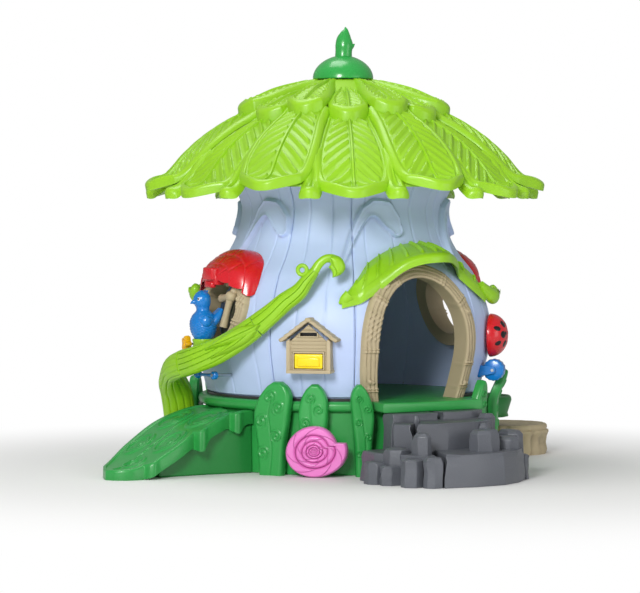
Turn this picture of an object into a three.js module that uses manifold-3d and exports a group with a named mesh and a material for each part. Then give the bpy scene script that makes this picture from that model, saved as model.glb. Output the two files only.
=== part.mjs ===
// A round garden playhouse in moulded plastic: a green base with leaf posts, a vase-shaped wall of
// eight panels, a two-part leaf roof with a cap, steps, a ramp, a vine rail and six small toys.
// Millimetres, +Z up, origin on the floor at the house's axis, the front door faces -Y.
import * as THREE from 'three';
import { mergeVertices } from 'three/addons/utils/BufferGeometryUtils.js';
import Module from 'manifold-3d';

const wasm = await Module();
wasm.setup();

// ---------- driving dimensions ----------
const GAP = 0.4;                 // between touching pieces
const FACET = 7.5;               // degrees of one facet around the house

const FLOOR_TOP = 323;           // walking surface inside the house
const DECK_THICKNESS = 34;
const RIM_RADIUS = 660;
const RIM_HEIGHT = 44;
const SKIRT_RADIUS = 640;
const SKIRT_THICKNESS = 22;

const WALL_THICKNESS = 14;
const WALL_TOP = 1506;
const WIDE_HALF = 28.5;          // half angle of the panels with doors and windows
const NARROW_HALF = 16.5;        // half angle of the plain panels between them

const DOOR = { outerHalf: 300, innerHalf: 234, widest: 570, outerTop: 922, innerTop: 860, sag: 505 };
const WINDOW = { half: 200, innerHalf: 146, bottom: 520, top: 905, innerBottom: 576, innerTop: 850 };
const FRAME_PROUD = 20;
const FRAME_DEEP = 74;

const LEAVES = 14;               // leaves around each tier of the roof
const LEAF_PHASE = -29.8;        // direction of one leaf
const ROOF_THICKNESS = 16;
const EAVE_RADIUS = 921;
const EAVE_NOTCH = 62;
const TIER_RADIUS = 492;
const TIER_NOTCH = 40;

const BIRD = { angle: -88, radius: 754, base: 588, bodyRadius: 60, pin: 6 };
const LADYBUG = { angle: 45, radius: 677, height: 590, size: 98, bulge: 80, pin: 12 };
const ROLLER = { angle: 42, radius: 706, height: 436, size: 50, length: 60, pin: 7 };
const HUT = {
  angle: -45, half: 95, bottom: 458, eave: 604, peak: 678, over: 28, face: 722, wall: 10,
  slotHalf: 38, slotBottom: 612, slotTop: 628, lintel: 14, roofThickness: 15, roofForward: 16,
};
const FLAP = { half: 62, bottom: 472, hinge: 529, knuckle: 6, thickness: 6, pin: 2.5 };
const FLOWER = { angle: -103, radius: 733, height: 556, size: 36, thickness: 30, pin: 5 };
const SNAIL = { angle: -43, least: 106, most: 150, middle: 112, tallest: 111, turned: 0.4, near: 712, far: 754 };
const LEVER = { angle: -83, radius: 742, height: 428, knob: 19, length: 118, pin: 7 };

const COLOUR = {
  lime: '#a5dd2e', green: '#34994a', darkGreen: '#1f7a35', wall: '#becdeb', tan: '#b3a484',
  rock: '#5b5d63', red: '#cc1c28', blue: '#1583cb', yellow: '#f5d70f', orange: '#efb418',
  pink: '#e17cc8', steel: '#b8bcc0',
};

// ---------- helpers ----------
const radians = THREE.MathUtils.degToRad;
const lerp = THREE.MathUtils.lerp;
const clamp01 = (value) => THREE.MathUtils.clamp(value, 0, 1);
const smooth = (value) => THREE.MathUtils.smoothstep(value, 0, 1);

// A point at a direction seen from above: 0 is the door, 90 is +X.
function place(angle, radius, height) {
  return [radius * Math.sin(radians(angle)), -radius * Math.cos(radians(angle)), height];
}

// A smooth curve through [x, y] pairs whose x rises: gives y at x.
function curveThrough(pairs) {
  const slope = pairs.map((pair, i) => {
    const before = pairs[Math.max(i - 1, 0)];
    const after = pairs[Math.min(i + 1, pairs.length - 1)];
    return (after[1] - before[1]) / (after[0] - before[0]);
  });
  return (x) => {
    const last = pairs.length - 2;
    let i = 0;
    while (i < last && x > pairs[i + 1][0]) i += 1;
    const width = pairs[i + 1][0] - pairs[i][0];
    const t = clamp01((x - pairs[i][0]) / width);
    const a = (2 * t ** 3 - 3 * t ** 2 + 1) * pairs[i][1];
    const b = (t ** 3 - 2 * t ** 2 + t) * width * slope[i];
    const c = (3 * t ** 2 - 2 * t ** 3) * pairs[i + 1][1];
    const d = (t ** 3 - t ** 2) * width * slope[i + 1];
    return a + b + c + d;
  };
}

function geometryOf(positions, index) {
  const geometry = new THREE.BufferGeometry();
  geometry.setAttribute('position', new THREE.Float32BufferAttribute(positions, 3));
  geometry.setIndex(index);
  return geometry;
}

function signedVolume(geometry) {
  const p = geometry.attributes.position;
  const corner = (i) => new THREE.Vector3().fromBufferAttribute(p, geometry.index.getX(i));
  let volume = 0;
  for (let i = 0; i < geometry.index.count; i += 3) {
    volume += corner(i).dot(corner(i + 1).cross(corner(i + 2))) / 6;
  }
  return volume;
}

function facingOut(geometry) {
  if (signedVolume(geometry) > 0) return geometry;
  const turned = Array.from(geometry.index.array);
  for (let i = 0; i < turned.length; i += 3) [turned[i], turned[i + 1]] = [turned[i + 1], turned[i]];
  geometry.setIndex(turned);
  return geometry;
}

function welded(geometry) {
  const bare = geometry.clone();
  bare.deleteAttribute('normal');
  bare.deleteAttribute('uv');
  return facingOut(mergeVertices(bare, 1e-3));
}

// A closed solid between an outer and an inner sheet, each a point for u and v from 0 to 1.
function sheetSolid(across, along, outer, inner) {
  const positions = [];
  for (const sheet of [outer, inner]) {
    for (let j = 0; j <= along; j += 1) {
      for (let i = 0; i <= across; i += 1) positions.push(...sheet(i / across, j / along));
    }
  }
  const row = across + 1;
  const layer = row * (along + 1);
  const at = (side, i, j) => side * layer + j * row + i;
  const index = [];
  const quad = (a, b, c, d) => index.push(a, b, c, a, c, d);
  for (let j = 0; j < along; j += 1) {
    for (let i = 0; i < across; i += 1) {
      quad(at(0, i, j), at(0, i + 1, j), at(0, i + 1, j + 1), at(0, i, j + 1));
      quad(at(1, i, j), at(1, i, j + 1), at(1, i + 1, j + 1), at(1, i + 1, j));
    }
    quad(at(0, 0, j), at(0, 0, j + 1), at(1, 0, j + 1), at(1, 0, j));
    quad(at(0, across, j), at(1, across, j), at(1, across, j + 1), at(0, across, j + 1));
  }
  for (let i = 0; i < across; i += 1) {
    quad(at(0, i, 0), at(1, i, 0), at(1, i + 1, 0), at(0, i + 1, 0));
    quad(at(0, i, along), at(0, i + 1, along), at(1, i + 1, along), at(1, i, along));
  }
  return facingOut(geometryOf(positions, index));
}

// A loop of [radius, height] points swept through an arc around the house's axis.
function arcSweep(loop, from, to) {
  const steps = Math.max(1, Math.round((to - from) / FACET));
  const n = loop.length;
  const positions = [];
  for (let s = 0; s <= steps; s += 1) {
    const angle = lerp(from, to, s / steps);
    for (const [radius, height] of loop) positions.push(...place(angle, radius, height));
  }
  const index = [];
  for (let s = 0; s < steps; s += 1) {
    for (let k = 0; k < n; k += 1) {
      const a = s * n + k;
      const b = s * n + ((k + 1) % n);
      index.push(a, b, b + n, a, b + n, a + n);
    }
  }
  const contour = loop.map(([x, y]) => new THREE.Vector2(x, y));
  for (const [a, b, c] of THREE.ShapeUtils.triangulateShape(contour, [])) {
    index.push(a, c, b);
    index.push(steps * n + a, steps * n + b, steps * n + c);
  }
  return facingOut(geometryOf(positions, index));
}

function toManifold(geometry) {
  const clean = welded(geometry);
  return new wasm.Manifold(new wasm.Mesh({
    numProp: 3,
    vertProperties: new Float32Array(clean.attributes.position.array),
    triVerts: new Uint32Array(clean.index.array),
  }));
}

function fromManifold(solid) {
  const mesh = solid.getMesh();
  return geometryOf(Array.from(mesh.vertProperties), Array.from(mesh.triVerts));
}

const cut = (body, ...tools) => fromManifold(
  tools.reduce((solid, tool) => solid.subtract(toManifold(tool)), toManifold(body)),
);
const join = (body, ...others) => fromManifold(
  others.reduce((solid, other) => solid.add(toManifold(other)), toManifold(body)),
);
const overlap = (a, b) => fromManifold(toManifold(a).intersect(toManifold(b)));

// An upright outline of [sideways, height] points, pushed outward from one radius to another.
function prism(outline, angle, from, to) {
  const shape = new THREE.Shape(outline.map(([x, y]) => new THREE.Vector2(x, y)));
  const geometry = new THREE.ExtrudeGeometry(shape, { depth: to - from, bevelEnabled: false });
  geometry.rotateX(Math.PI / 2);
  geometry.translate(0, -from, 0);
  geometry.rotateZ(radians(angle));
  return welded(geometry);
}

// A flat outline of [x, y] points raised from one height to another.
function slab(outline, bottom, top) {
  const shape = new THREE.Shape(outline.map(([x, y]) => new THREE.Vector2(x, y)));
  const geometry = new THREE.ExtrudeGeometry(shape, { depth: top - bottom, bevelEnabled: false });
  geometry.translate(0, 0, bottom);
  return welded(geometry);
}

// A round bar between two points.
function bar(start, end, radius, sides = 12) {
  const a = new THREE.Vector3(...start);
  const b = new THREE.Vector3(...end);
  const geometry = new THREE.CylinderGeometry(radius, radius, a.distanceTo(b), sides);
  const up = new THREE.Vector3(0, 1, 0);
  geometry.applyQuaternion(new THREE.Quaternion().setFromUnitVectors(up, b.clone().sub(a).normalize()));
  geometry.translate(...a.add(b).multiplyScalar(0.5).toArray());
  return welded(geometry);
}

// A tapering tube along a list of points, one radius for each. `flatten` is the share of that radius the
// section keeps in depth: a number, or a function of how far along the tube it is.
function taperedTube(points, radii, sides = 8, flatten = 1) {
  const curve = new THREE.CatmullRomCurve3(points.map((p) => new THREE.Vector3(...p)));
  const radiusAt = curveThrough(radii.map((r, i) => [i / (radii.length - 1), r]));
  const steps = (points.length - 1) * 3;
  const positions = [];
  const index = [];
  for (let s = 0; s <= steps; s += 1) {
    const t = s / steps;
    const centre = curve.getPoint(t);
    const tangent = curve.getTangent(t);
    const outward = new THREE.Vector3(centre.x, centre.y, 0).normalize();
    const side = new THREE.Vector3().crossVectors(tangent, outward).normalize();
    const front = new THREE.Vector3().crossVectors(side, tangent).normalize();
    for (let k = 0; k < sides; k += 1) {
      const turn = (2 * Math.PI * (k + 0.5)) / sides;
      const reach = radiusAt(t);
      const depth = typeof flatten === 'function' ? flatten(t) : flatten;
      const offset = side.clone().multiplyScalar(Math.cos(turn) * reach)
        .addScaledVector(front, Math.sin(turn) * reach * depth);
      positions.push(centre.x + offset.x, centre.y + offset.y, centre.z + offset.z);
    }
  }
  for (let s = 0; s < steps; s += 1) {
    for (let k = 0; k < sides; k += 1) {
      const a = s * sides + k;
      const b = s * sides + ((k + 1) % sides);
      index.push(a, b, b + sides, a, b + sides, a + sides);
    }
  }
  for (let k = 1; k < sides - 1; k += 1) {
    index.push(0, k + 1, k);
    index.push(steps * sides, steps * sides + k, steps * sides + k + 1);
  }
  return facingOut(geometryOf(positions, index));
}

const house = new THREE.Group();

function add(name, geometry, colour, roughness = 0.4, metalness = 0) {
  const material = new THREE.MeshStandardMaterial({ color: colour, roughness, metalness });
  const mesh = new THREE.Mesh(welded(geometry), material);
  mesh.name = name;
  house.add(mesh);
}

// ---------- profiles of the house ----------
const wallRadius = curveThrough([
  [323, 618], [410, 640], [560, 672], [700, 663], [864, 598], [957, 529],
  [1040, 486], [1160, 460], [1250, 492], [1330, 540], [1420, 572], [1506, 582],
]);
const roofTop = curveThrough([
  [120, 1752], [170, 1742], [320, 1699], [472, 1596], [559, 1548], [659, 1479],
  [747, 1398], [810, 1323], [850, 1296], [921, 1283],
]);
const tierTop = curveThrough([[120, 1750], [170, 1742], [320, 1705], [420, 1662], [492, 1630]]);

const WALL_LEVELS = [FLOOR_TOP + GAP, 410, 500, 600, 700, 790, 870, 950, 1040, 1150, 1260, 1380, WALL_TOP];

// The wall's section between two heights, as a loop from its outer to its inner face.
const wallLoop = (from, to, outward, inward) => {
  const heights = [from, ...WALL_LEVELS.filter((z) => z > from + 5 && z < to - 5), to];
  const outer = heights.map((z) => [wallRadius(z) + outward, z]);
  const inner = heights.map((z) => [wallRadius(z) - inward, z]).reverse();
  return [...outer, ...inner];
};
// All that lies inside the wall's outer face, to cut what leans on it.
const insideWall = () => {
  const skin = WALL_LEVELS.map((z) => new THREE.Vector2(wallRadius(z) + 2, z));
  const ends = [WALL_LEVELS[0], WALL_TOP].map((z) => new THREE.Vector2(0, z));
  const solid = new THREE.LatheGeometry([ends[0], ...skin, ends[1]], 96);
  solid.rotateX(Math.PI / 2);
  return welded(solid);
};

// ---------- openings ----------
const arc = (steps, point) => Array.from({ length: steps + 1 }, (_, i) => point(i / steps));

function doorOutline(half, top, grow = 0) {
  const wide = half + grow;
  const rise = top + grow - DOOR.widest;
  const low = FLOOR_TOP + GAP;
  const over = arc(12, (t) => [wide * Math.cos(Math.PI * t), DOOR.widest + rise * Math.sin(Math.PI * t)]);
  const lower = (z) => wide * Math.sqrt(1 - ((z - DOOR.widest) / DOOR.sag) ** 2);
  const mid = (low + DOOR.widest) / 2;
  return [...over, [-lower(mid), mid], [-lower(low), low], [lower(low), low], [lower(mid), mid]];
}

function windowOutline(half, bottom, top, grow = 0) {
  const centre = (bottom + top) / 2;
  const rise = (top - bottom) / 2 + grow;
  const oval = (t) => [(half + grow) * Math.cos(2 * Math.PI * t), centre + rise * Math.sin(2 * Math.PI * t)];
  return arc(16, oval).slice(0, -1);
}

// ---------- base ----------
function skirtQuarter(angle) {
  const rimLow = FLOOR_TOP - RIM_HEIGHT;
  const inner = SKIRT_RADIUS - SKIRT_THICKNESS;
  const seat = FLOOR_TOP - DECK_THICKNESS - GAP;
  const loop = [
    [SKIRT_RADIUS, 0], [SKIRT_RADIUS - 12, rimLow], [RIM_RADIUS - 8, rimLow], [RIM_RADIUS, rimLow + 12],
    [RIM_RADIUS, FLOOR_TOP - 12], [RIM_RADIUS - 10, FLOOR_TOP], [inner - 20, FLOOR_TOP],
    [inner - 20, seat - 14], [inner, seat - 34], [inner, 0],
  ];
  return arcSweep(loop, angle - 45 + 0.02, angle + 45 - 0.02);
}

// The round floor, with a foot under its middle that stands on the ground.
function floorDeck() {
  const radius = SKIRT_RADIUS - SKIRT_THICKNESS - 20 - 2;
  const disc = new THREE.CylinderGeometry(radius, radius, DECK_THICKNESS, 48);
  disc.rotateX(Math.PI / 2);
  disc.translate(0, 0, FLOOR_TOP - DECK_THICKNESS / 2);
  const foot = new THREE.CylinderGeometry(70, 90, FLOOR_TOP - DECK_THICKNESS / 2, 16);
  foot.rotateX(Math.PI / 2);
  foot.translate(0, 0, (FLOOR_TOP - DECK_THICKNESS / 2) / 2);
  return join(welded(disc), welded(foot));
}

// A step slab that carries the floor out past the rim under a doorway.
function sill(angle) {
  const half = 21.5;
  const front = 736;
  const rim = arc(6, (t) => place(lerp(-half, half, t), RIM_RADIUS + 4, 0));
  const nose = arc(2, (t) => [lerp(262, -262, t), -front + 14 * Math.abs(2 * t - 1), 0]);
  const outline = [...rim, ...nose].map(([x, y]) => [x, y]);
  return slab(outline, FLOOR_TOP - 41, FLOOR_TOP).rotateZ(radians(angle));
}

// An upright leaf: broad above the middle, narrow at the foot, its head leaning sideways and outward.
function leafPost({ angle, top, width, lean = 0, curl = 0 }) {
  const inner = RIM_RADIUS + 2;
  const halfWidth = curveThrough([[0, 0.34], [0.35, 0.4], [0.62, 0.5], [0.8, 0.44], [0.93, 0.26], [1, 0.1]]);
  const point = (depth) => (u, v) => {
    const sideways = (u - 0.5) * 2 * halfWidth(v) * width + lean * smooth((v - 0.6) / 0.4);
    const hook = curl * smooth((v - 0.62) / 0.38);
    const [x, y] = [sideways, -(inner + depth + hook)];
    const turned = new THREE.Vector3(x, y, v * top - hook * 0.12).applyAxisAngle(
      new THREE.Vector3(0, 0, 1), radians(angle),
    );
    return turned.toArray();
  };
  return sheetSolid(3, 7, point(46), point(0));
}

// ---------- wall ----------
function widePanel(angle, opening) {
  const loop = wallLoop(FLOOR_TOP + GAP, WALL_TOP, 0, WALL_THICKNESS);
  const panel = arcSweep(loop, angle - WIDE_HALF + 0.03, angle + WIDE_HALF - 0.03);
  return cut(panel, prism(opening, angle, 380, 800));
}

function narrowPanel(angle) {
  const loop = wallLoop(FLOOR_TOP + GAP, WALL_TOP, 0, WALL_THICKNESS);
  return arcSweep(loop, angle - NARROW_HALF + 0.03, angle + NARROW_HALF - 0.03);
}

function frameRing(angle, outer, inner, from, to) {
  const band = arcSweep(wallLoop(from, to, FRAME_PROUD, FRAME_DEEP), angle - 30, angle + 30);
  const ring = overlap(band, prism(outer, angle, 380, 800));
  return cut(ring, prism(inner, angle, 300, 900));
}

// The space a door frame takes up, for cutting the canopy in front of it.
function frameRoom(angle) {
  const loop = wallLoop(FLOOR_TOP + GAP, 960, FRAME_PROUD + GAP, FRAME_DEEP);
  const band = arcSweep(loop, angle - 30, angle + 30);
  return overlap(band, prism(doorOutline(DOOR.outerHalf + GAP, DOOR.outerTop + GAP), angle, 380, 800));
}

// A leaf canopy arched over a doorway, from a pointed tip on the left to a curl on the right.
function awning(angle, wall) {
  const from = -32;
  const to = 40;
  const backHeight = curveThrough([
    [0, 775], [0.08, 850], [0.16, 925], [0.34, 988], [0.5, 1010], [0.68, 1000], [0.86, 940], [1, 845],
  ]);
  const fall = curveThrough([[0, 18], [0.16, 115], [0.34, 60], [0.5, 53], [0.68, 65], [0.86, 95], [1, 45]]);
  const reach = curveThrough([
    [0, 16], [0.16, 74], [0.34, 175], [0.5, 232], [0.66, 170], [0.84, 66], [1, 34],
  ]);
  const point = (lift) => (u, v) => {
    const height = backHeight(u);
    const start = wallRadius(height) + FRAME_PROUD * 0.3;
    return place(angle + lerp(from, to, u), start + reach(u) * v, height - fall(u) * v ** 1.5 + lift);
  };
  const leaf = sheetSolid(12, 3, point(0), point(-16));
  const curl = taperedTube([
    place(angle + 36, 640, 850), place(angle + 41, 664, 806), place(angle + 45, 690, 764),
    place(angle + 48, 694, 772), place(angle + 50, 690, 800),
  ], [20, 26, 34, 34, 14], 6, 0.8);
  return cut(join(leaf, curl), wall, frameRoom(angle));
}

// A petal hood over a window: a deep arched cap that narrows to a hollow square tip at its front.
function hood(angle, wall) {
  const front = 700;
  const half = curveThrough([[0, 212], [0.3, 202], [0.65, 160], [1, 74]]);
  const crown = curveThrough([[0, 976], [0.3, 970], [0.65, 945], [1, 898]]);
  const brim = curveThrough([[0, 776], [0.3, 796], [0.65, 812], [1, 816]]);
  const squareness = 2.6;
  const point = (shrink) => (u, v) => {
    const turn = Math.PI * u;
    const arch = (1 - Math.abs(Math.cos(turn)) ** squareness) ** (1 / squareness);
    const heightHere = brim(v) + (crown(v) - brim(v) - shrink) * arch;
    const sideways = (half(v) - shrink) * Math.cos(turn);
    const skin = Math.sqrt(Math.max((wallRadius(heightHere) + 4) ** 2 - sideways ** 2, 0));
    return [sideways, -lerp(skin, front, v), heightHere];
  };
  const cap = sheetSolid(14, 4, point(0), point(10));
  const tip = { width: 88, bottom: 812, top: 904, back: 664, front: 720, skin: 12 };
  const blockOf = (width, back, face, bottom, top) => new THREE.BoxGeometry(width, face - back, top - bottom)
    .translate(0, -(face + back) / 2, (top + bottom) / 2);
  const block = welded(blockOf(tip.width, tip.back, tip.front, tip.bottom, tip.top));
  const hollow = welded(blockOf(
    tip.width - 2 * tip.skin, 600, tip.front - tip.skin, tip.bottom - 60, tip.top - tip.skin,
  ));
  return cut(cut(join(cap, block), hollow).rotateZ(radians(angle)), wall);
}

// ---------- roof ----------
// Nearness to a leaf's middle line: 1 on it, 0 half way to the next leaf.
const leafCore = (angle) => Math.abs(Math.cos((radians(angle - LEAF_PHASE) * LEAVES) / 2));

function roofHalf(start) {
  const along = 7;
  const across = LEAVES * 2;
  const point = (drop) => (u, v) => {
    const angle = start + 0.02 + u * 179.96;
    const edge = EAVE_RADIUS - EAVE_NOTCH * (1 - leafCore(angle) ** 0.35);
    const radius = lerp(120, edge, v ** 0.8);
    const tier = radius < TIER_RADIUS - TIER_NOTCH ? tierTop(radius) : roofTop(radius);
    return place(angle, radius, tier - drop * (1 + smooth((v - 0.9) / 0.1)));
  };
  return sheetSolid(across, along, point(0), point(ROOF_THICKNESS));
}

function capDome(lift) {
  const profile = [[0, 1751], [139, 1751], [137, 1780], [124, 1812], [98, 1840], [58, 1857], [0, 1861]];
  const dome = new THREE.LatheGeometry(profile.map(([r, z]) => new THREE.Vector2(r, z + lift)), 20);
  return welded(dome.rotateX(Math.PI / 2));
}

function finialCap() {
  const spigot = new THREE.CylinderGeometry(100, 100, 40, 12).rotateX(Math.PI / 2).translate(0, 0, 1738);
  return join(capDome(0), welded(spigot));
}

function finialStem() {
  const stem = taperedTube(
    [[-6, 2, 1846], [-8, 4, 1895], [-4, 2, 1932], [4, -2, 1962], [2, -2, 1990]],
    [34, 37, 38, 26, 2], 8,
  );
  return cut(stem, capDome(GAP));
}

// ---------- steps and ramp ----------
function rockSteps() {
  const back = arc(5, (t) => place(lerp(-19, 19, t), RIM_RADIUS + 6, 0)).map(([x, y]) => [x, y]);
  const shoulder = -738;
  const lower = slab([
    ...back, [236, shoulder], [270, shoulder], [272, -900], [214, -1104], [120, -1190], [10, -1244],
    [-150, -1252], [-300, -1222], [-372, -1040], [-430, -870], [-400, shoulder], [-236, shoulder],
  ], 0, 137);
  const upper = slab([
    ...back, [232, shoulder], [252, shoulder], [246, -840], [180, -930], [60, -985], [-120, -1005],
    [-270, -970], [-334, -870], [-326, shoulder], [-232, shoulder],
  ], 0, 250);
  const ledge = slab([...back, [228, shoulder], [244, shoulder], [240, -774], [150, -804], [-150, -804],
    [-262, -784], [-262, shoulder], [-228, shoulder]], 0, FLOOR_TOP - 41 - GAP);
  const chunk = (x, y, w, d, height) => {
    const block = new THREE.CylinderGeometry(0.44, 0.5, 1, 6);
    block.rotateX(Math.PI / 2);
    block.scale(w, d, height);
    return block.translate(x, y, height / 2);
  };
  return join(lower, upper, ledge,
    chunk(-291, -1064, 92, 92, 222), chunk(-352, -960, 124, 112, 158), chunk(-366, -1096, 92, 104, 120),
    chunk(-420, -906, 104, 100, 96), chunk(4, -1100, 150, 124, 224), chunk(160, -1070, 116, 110, 186),
    chunk(90, -976, 64, 64, 243));
}

function stumpStep() {
  const profile = [
    [0, 0], [188, 0], [196, 20], [184, 60], [192, 96], [200, 112], [196, 134], [180, 142], [0, 142],
  ];
  const solid = new THREE.LatheGeometry(profile.map(([r, z]) => new THREE.Vector2(r, z)), 24);
  solid.rotateX(Math.PI / 2);
  return solid.translate(926, 0, 0);
}

// The thick leaf over the stump, fitted to the base's rim on one side.
function leafLanding() {
  const halfAngle = 19;
  const bottom = 186;
  const top = 284;
  const rim = arc(6, (t) => place(90 + lerp(-halfAngle, halfAngle, t), RIM_RADIUS + 4, 0)).map(([x, y]) => [x, y]);
  const nose = [
    [700, 215], [790, 200], [860, 146], [896, 60], [896, -60], [860, -146], [790, -200], [700, -215],
  ];
  return slab([...rim, ...nose], bottom, top);
}

const RAMP_THICKNESS = 64;
// Everything inside the base's outer face, to end the ramp against it.
const skirtCore = () => {
  const core = new THREE.CylinderGeometry(SKIRT_RADIUS + GAP, SKIRT_RADIUS + GAP, 800, 96);
  return welded(core.rotateX(Math.PI / 2));
};
const rampHeight = curveThrough([
  [-1320, 42], [-1180, 60], [-1040, 128], [-880, 212], [-760, 256], [-670, 276], [-560, 276.5],
]);

function rampLeaf() {
  const outline = [
    [-588, -216], [-760, -224], [-782, -250], [-890, -246], [-912, -272], [-1120, -272], [-1172, -258],
    [-1250, -222], [-1312, -170], [-1290, -90], [-1230, 20], [-1120, 120], [-980, 182], [-840, 206],
    [-588, 190],
  ];
  const bands = 12;
  const edges = (x) => {
    const ys = [];
    outline.forEach(([ax, ay], i) => {
      const [bx, by] = outline[(i + 1) % outline.length];
      const straddles = (ax - x) * (bx - x) < 0;
      if (straddles) ys.push(lerp(ay, by, (x - ax) / (bx - ax)));
    });
    return [Math.min(...ys), Math.max(...ys)];
  };
  const point = (drop) => (u, v) => {
    const x = lerp(-589, -1310, v);
    const [near, far] = edges(x);
    return [x, lerp(near, far, u), Math.max(rampHeight(x) - drop, 0)];
  };
  return cut(sheetSolid(4, bands, point(0), point(RAMP_THICKNESS)), skirtCore());
}

function rampSupport() {
  const under = (x) => rampHeight(x) - RAMP_THICKNESS - 2;
  const bands = 5;
  const point = (side) => (u, v) => {
    const x = lerp(-590, -1060, v);
    const y = lerp(-196, 120, u) * (1 - 0.1 * v);
    return [x, y, side ? 0 : under(x)];
  };
  return cut(sheetSolid(1, bands, point(false), point(true)), skirtCore());
}

// ---------- vine ----------
// A flattened stem along a route of stations: direction, distance from the axis, height and half width.
function vineStem(stations, sides = 4) {
  const curve = (pick) => curveThrough(stations.map((s, i) => [i / (stations.length - 1), pick(s)]));
  const angle = curve((s) => s[0]);
  const radius = curve((s) => s[1]);
  const height = curve((s) => s[2]);
  const half = curve((s) => s[3]);
  const centre = (t) => new THREE.Vector3(...place(angle(t), radius(t), height(t)));
  const section = (t) => {
    const here = centre(t);
    const tangent = centre(Math.min(t + 0.02, 1)).sub(centre(Math.max(t - 0.02, 0))).normalize();
    const outward = new THREE.Vector3(here.x, here.y, 0).normalize();
    const across = new THREE.Vector3().crossVectors(outward, tangent).normalize();
    const normal = new THREE.Vector3().crossVectors(tangent, across).normalize();
    return { here, across, normal, half: half(t) };
  };
  const point = (depth, crown) => (u, v) => {
    const { here, across, normal, half: reach } = section(v);
    const bulge = crown * Math.sin(Math.PI * u);
    return here.clone().addScaledVector(across, (u - 0.5) * 2 * reach)
      .addScaledVector(normal, depth + bulge).toArray();
  };
  return sheetSolid(sides, (stations.length - 1) * 2, point(6, 14), point(-16, 0));
}

const RAIL = [
  [-64.7, 732, 650, 51], [-71, 756, 592, 55], [-78, 792, 537, 58], [-85, 826, 500, 60], [-91.4, 836, 478, 62],
];
const TIP = [
  [-43.2, 700, 894, 22], [-46, 704, 850, 30], [-49, 708, 802, 37], [-54, 713, 758, 42], [-58.6, 720, 710, 45],
  [-64, 729, 657, 51],
];

// The thick trunk that carries the vine down behind the ramp.
function vineStalk() {
  const route = [
    place(-92, 838, 474), place(-99, 836, 444), place(-105, 806, 395), place(-110, 770, 320),
    place(-114, 748, 190), place(-117, 741, 10),
  ];
  const depth = curveThrough([[0, 0.42], [0.25, 0.75], [0.5, 1.35], [1, 1.35]]);
  return taperedTube(route, [60, 58, 54, 52, 52, 54], 10, depth);
}

function vineTip() {
  const curl = taperedTube([
    place(-43.7, 702, 884), place(-40.3, 692, 940), place(-37.6, 684, 946), place(-34.8, 680, 922),
    place(-35.6, 679, 884),
  ], [20, 18, 20, 27, 8], 6, 0.6);
  const ring = new THREE.TorusGeometry(20, 9, 5, 10);
  ring.rotateX(Math.PI / 2);
  ring.translate(0, -712, 898);
  ring.rotateZ(radians(-47.4));
  return join(vineStem(TIP), curl, welded(ring));
}

// The middle length of the vine, with the round stand for the bird moulded on behind it.
function vineRail() {
  const [x, y] = place(BIRD.angle, BIRD.radius, 0);
  const stand = new THREE.CylinderGeometry(50, 50, 56, 16).rotateX(Math.PI / 2);
  stand.translate(x, y, BIRD.base - 28 - GAP);
  const web = bar(place(BIRD.angle, BIRD.radius, 540), place(BIRD.angle, 822, 540), 16, 8);
  return join(vineStem(RAIL), welded(stand), web);
}

// ---------- toys ----------
function birdBody() {
  const r = BIRD.bodyRadius;
  const profile = [
    [0, 0], [44, 0], [52, 24], [r, 66], [46, 108], [26, 126], [30, 142], [40, 168], [36, 196], [18, 214],
    [0, 219],
  ];
  const body = new THREE.LatheGeometry(profile.map(([x, z]) => new THREE.Vector2(x, z)), 12);
  body.rotateX(Math.PI / 2);
  const nose = bar([30, 0, 166], [58, 0, 160], 11, 8);
  const tail = taperedTube([[-30, 0.1, 70], [-62, 0.1, 96], [-84, 0.1, 124]], [26, 24, 10], 6);
  const bore = bar([0, 0, -10], [0, 0, 40], BIRD.pin + 1, 12);
  const solid = cut(join(welded(body), nose, tail), bore);
  solid.rotateZ(radians(165));
  const [x, y] = place(BIRD.angle, BIRD.radius, 0);
  return solid.translate(x, y, BIRD.base);
}

function birdPin() {
  const low = place(BIRD.angle, BIRD.radius, BIRD.base - 0.1);
  const high = place(BIRD.angle, BIRD.radius, BIRD.base + 36);
  return bar(low, high, BIRD.pin, 12);
}

function ladybug() {
  const { size, bulge } = LADYBUG;
  const dome = arc(6, (t) => {
    const rise = (Math.PI / 2) * t;
    return new THREE.Vector2(size * Math.cos(rise), bulge * Math.sin(rise));
  });
  const outline = [new THREE.Vector2(0, 0), ...dome.slice(0, -1), new THREE.Vector2(0, bulge)];
  const solid = new THREE.LatheGeometry(outline, 20);
  solid.rotateX(Math.PI);
  solid.translate(0, -LADYBUG.radius, 0);
  const bore = bar([0, -LADYBUG.radius + 5, 0], [0, -LADYBUG.radius - 44, 0], LADYBUG.pin + 1, 12);
  const body = cut(welded(solid), bore);
  return body.translate(0, 0, LADYBUG.height).rotateZ(radians(LADYBUG.angle));
}

function ladybugPin() {
  return bar(place(LADYBUG.angle, wallRadius(LADYBUG.height) + 1, LADYBUG.height),
    place(LADYBUG.angle, LADYBUG.radius + 40, LADYBUG.height), LADYBUG.pin, 12);
}

const acrossFrom = (angle, radius, height, sideways) => {
  const point = new THREE.Vector3(sideways, -radius, height);
  return point.applyAxisAngle(new THREE.Vector3(0, 0, 1), radians(angle)).toArray();
};

function roller() {
  const { angle, radius, height, size, length, pin } = ROLLER;
  const across = (reach) => acrossFrom(angle, radius, height, reach);
  const drum = bar(across(-length / 2), across(length / 2), size, 20);
  const bore = bar(across(-length), across(length), pin + 1, 12);
  return cut(drum, bore);
}

function rollerPin() {
  const { angle, radius, height, length, pin } = ROLLER;
  const reach = length / 2 + 16;
  return bar(acrossFrom(angle, radius, height, -reach), acrossFrom(angle, radius, height, reach), pin, 12);
}

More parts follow.
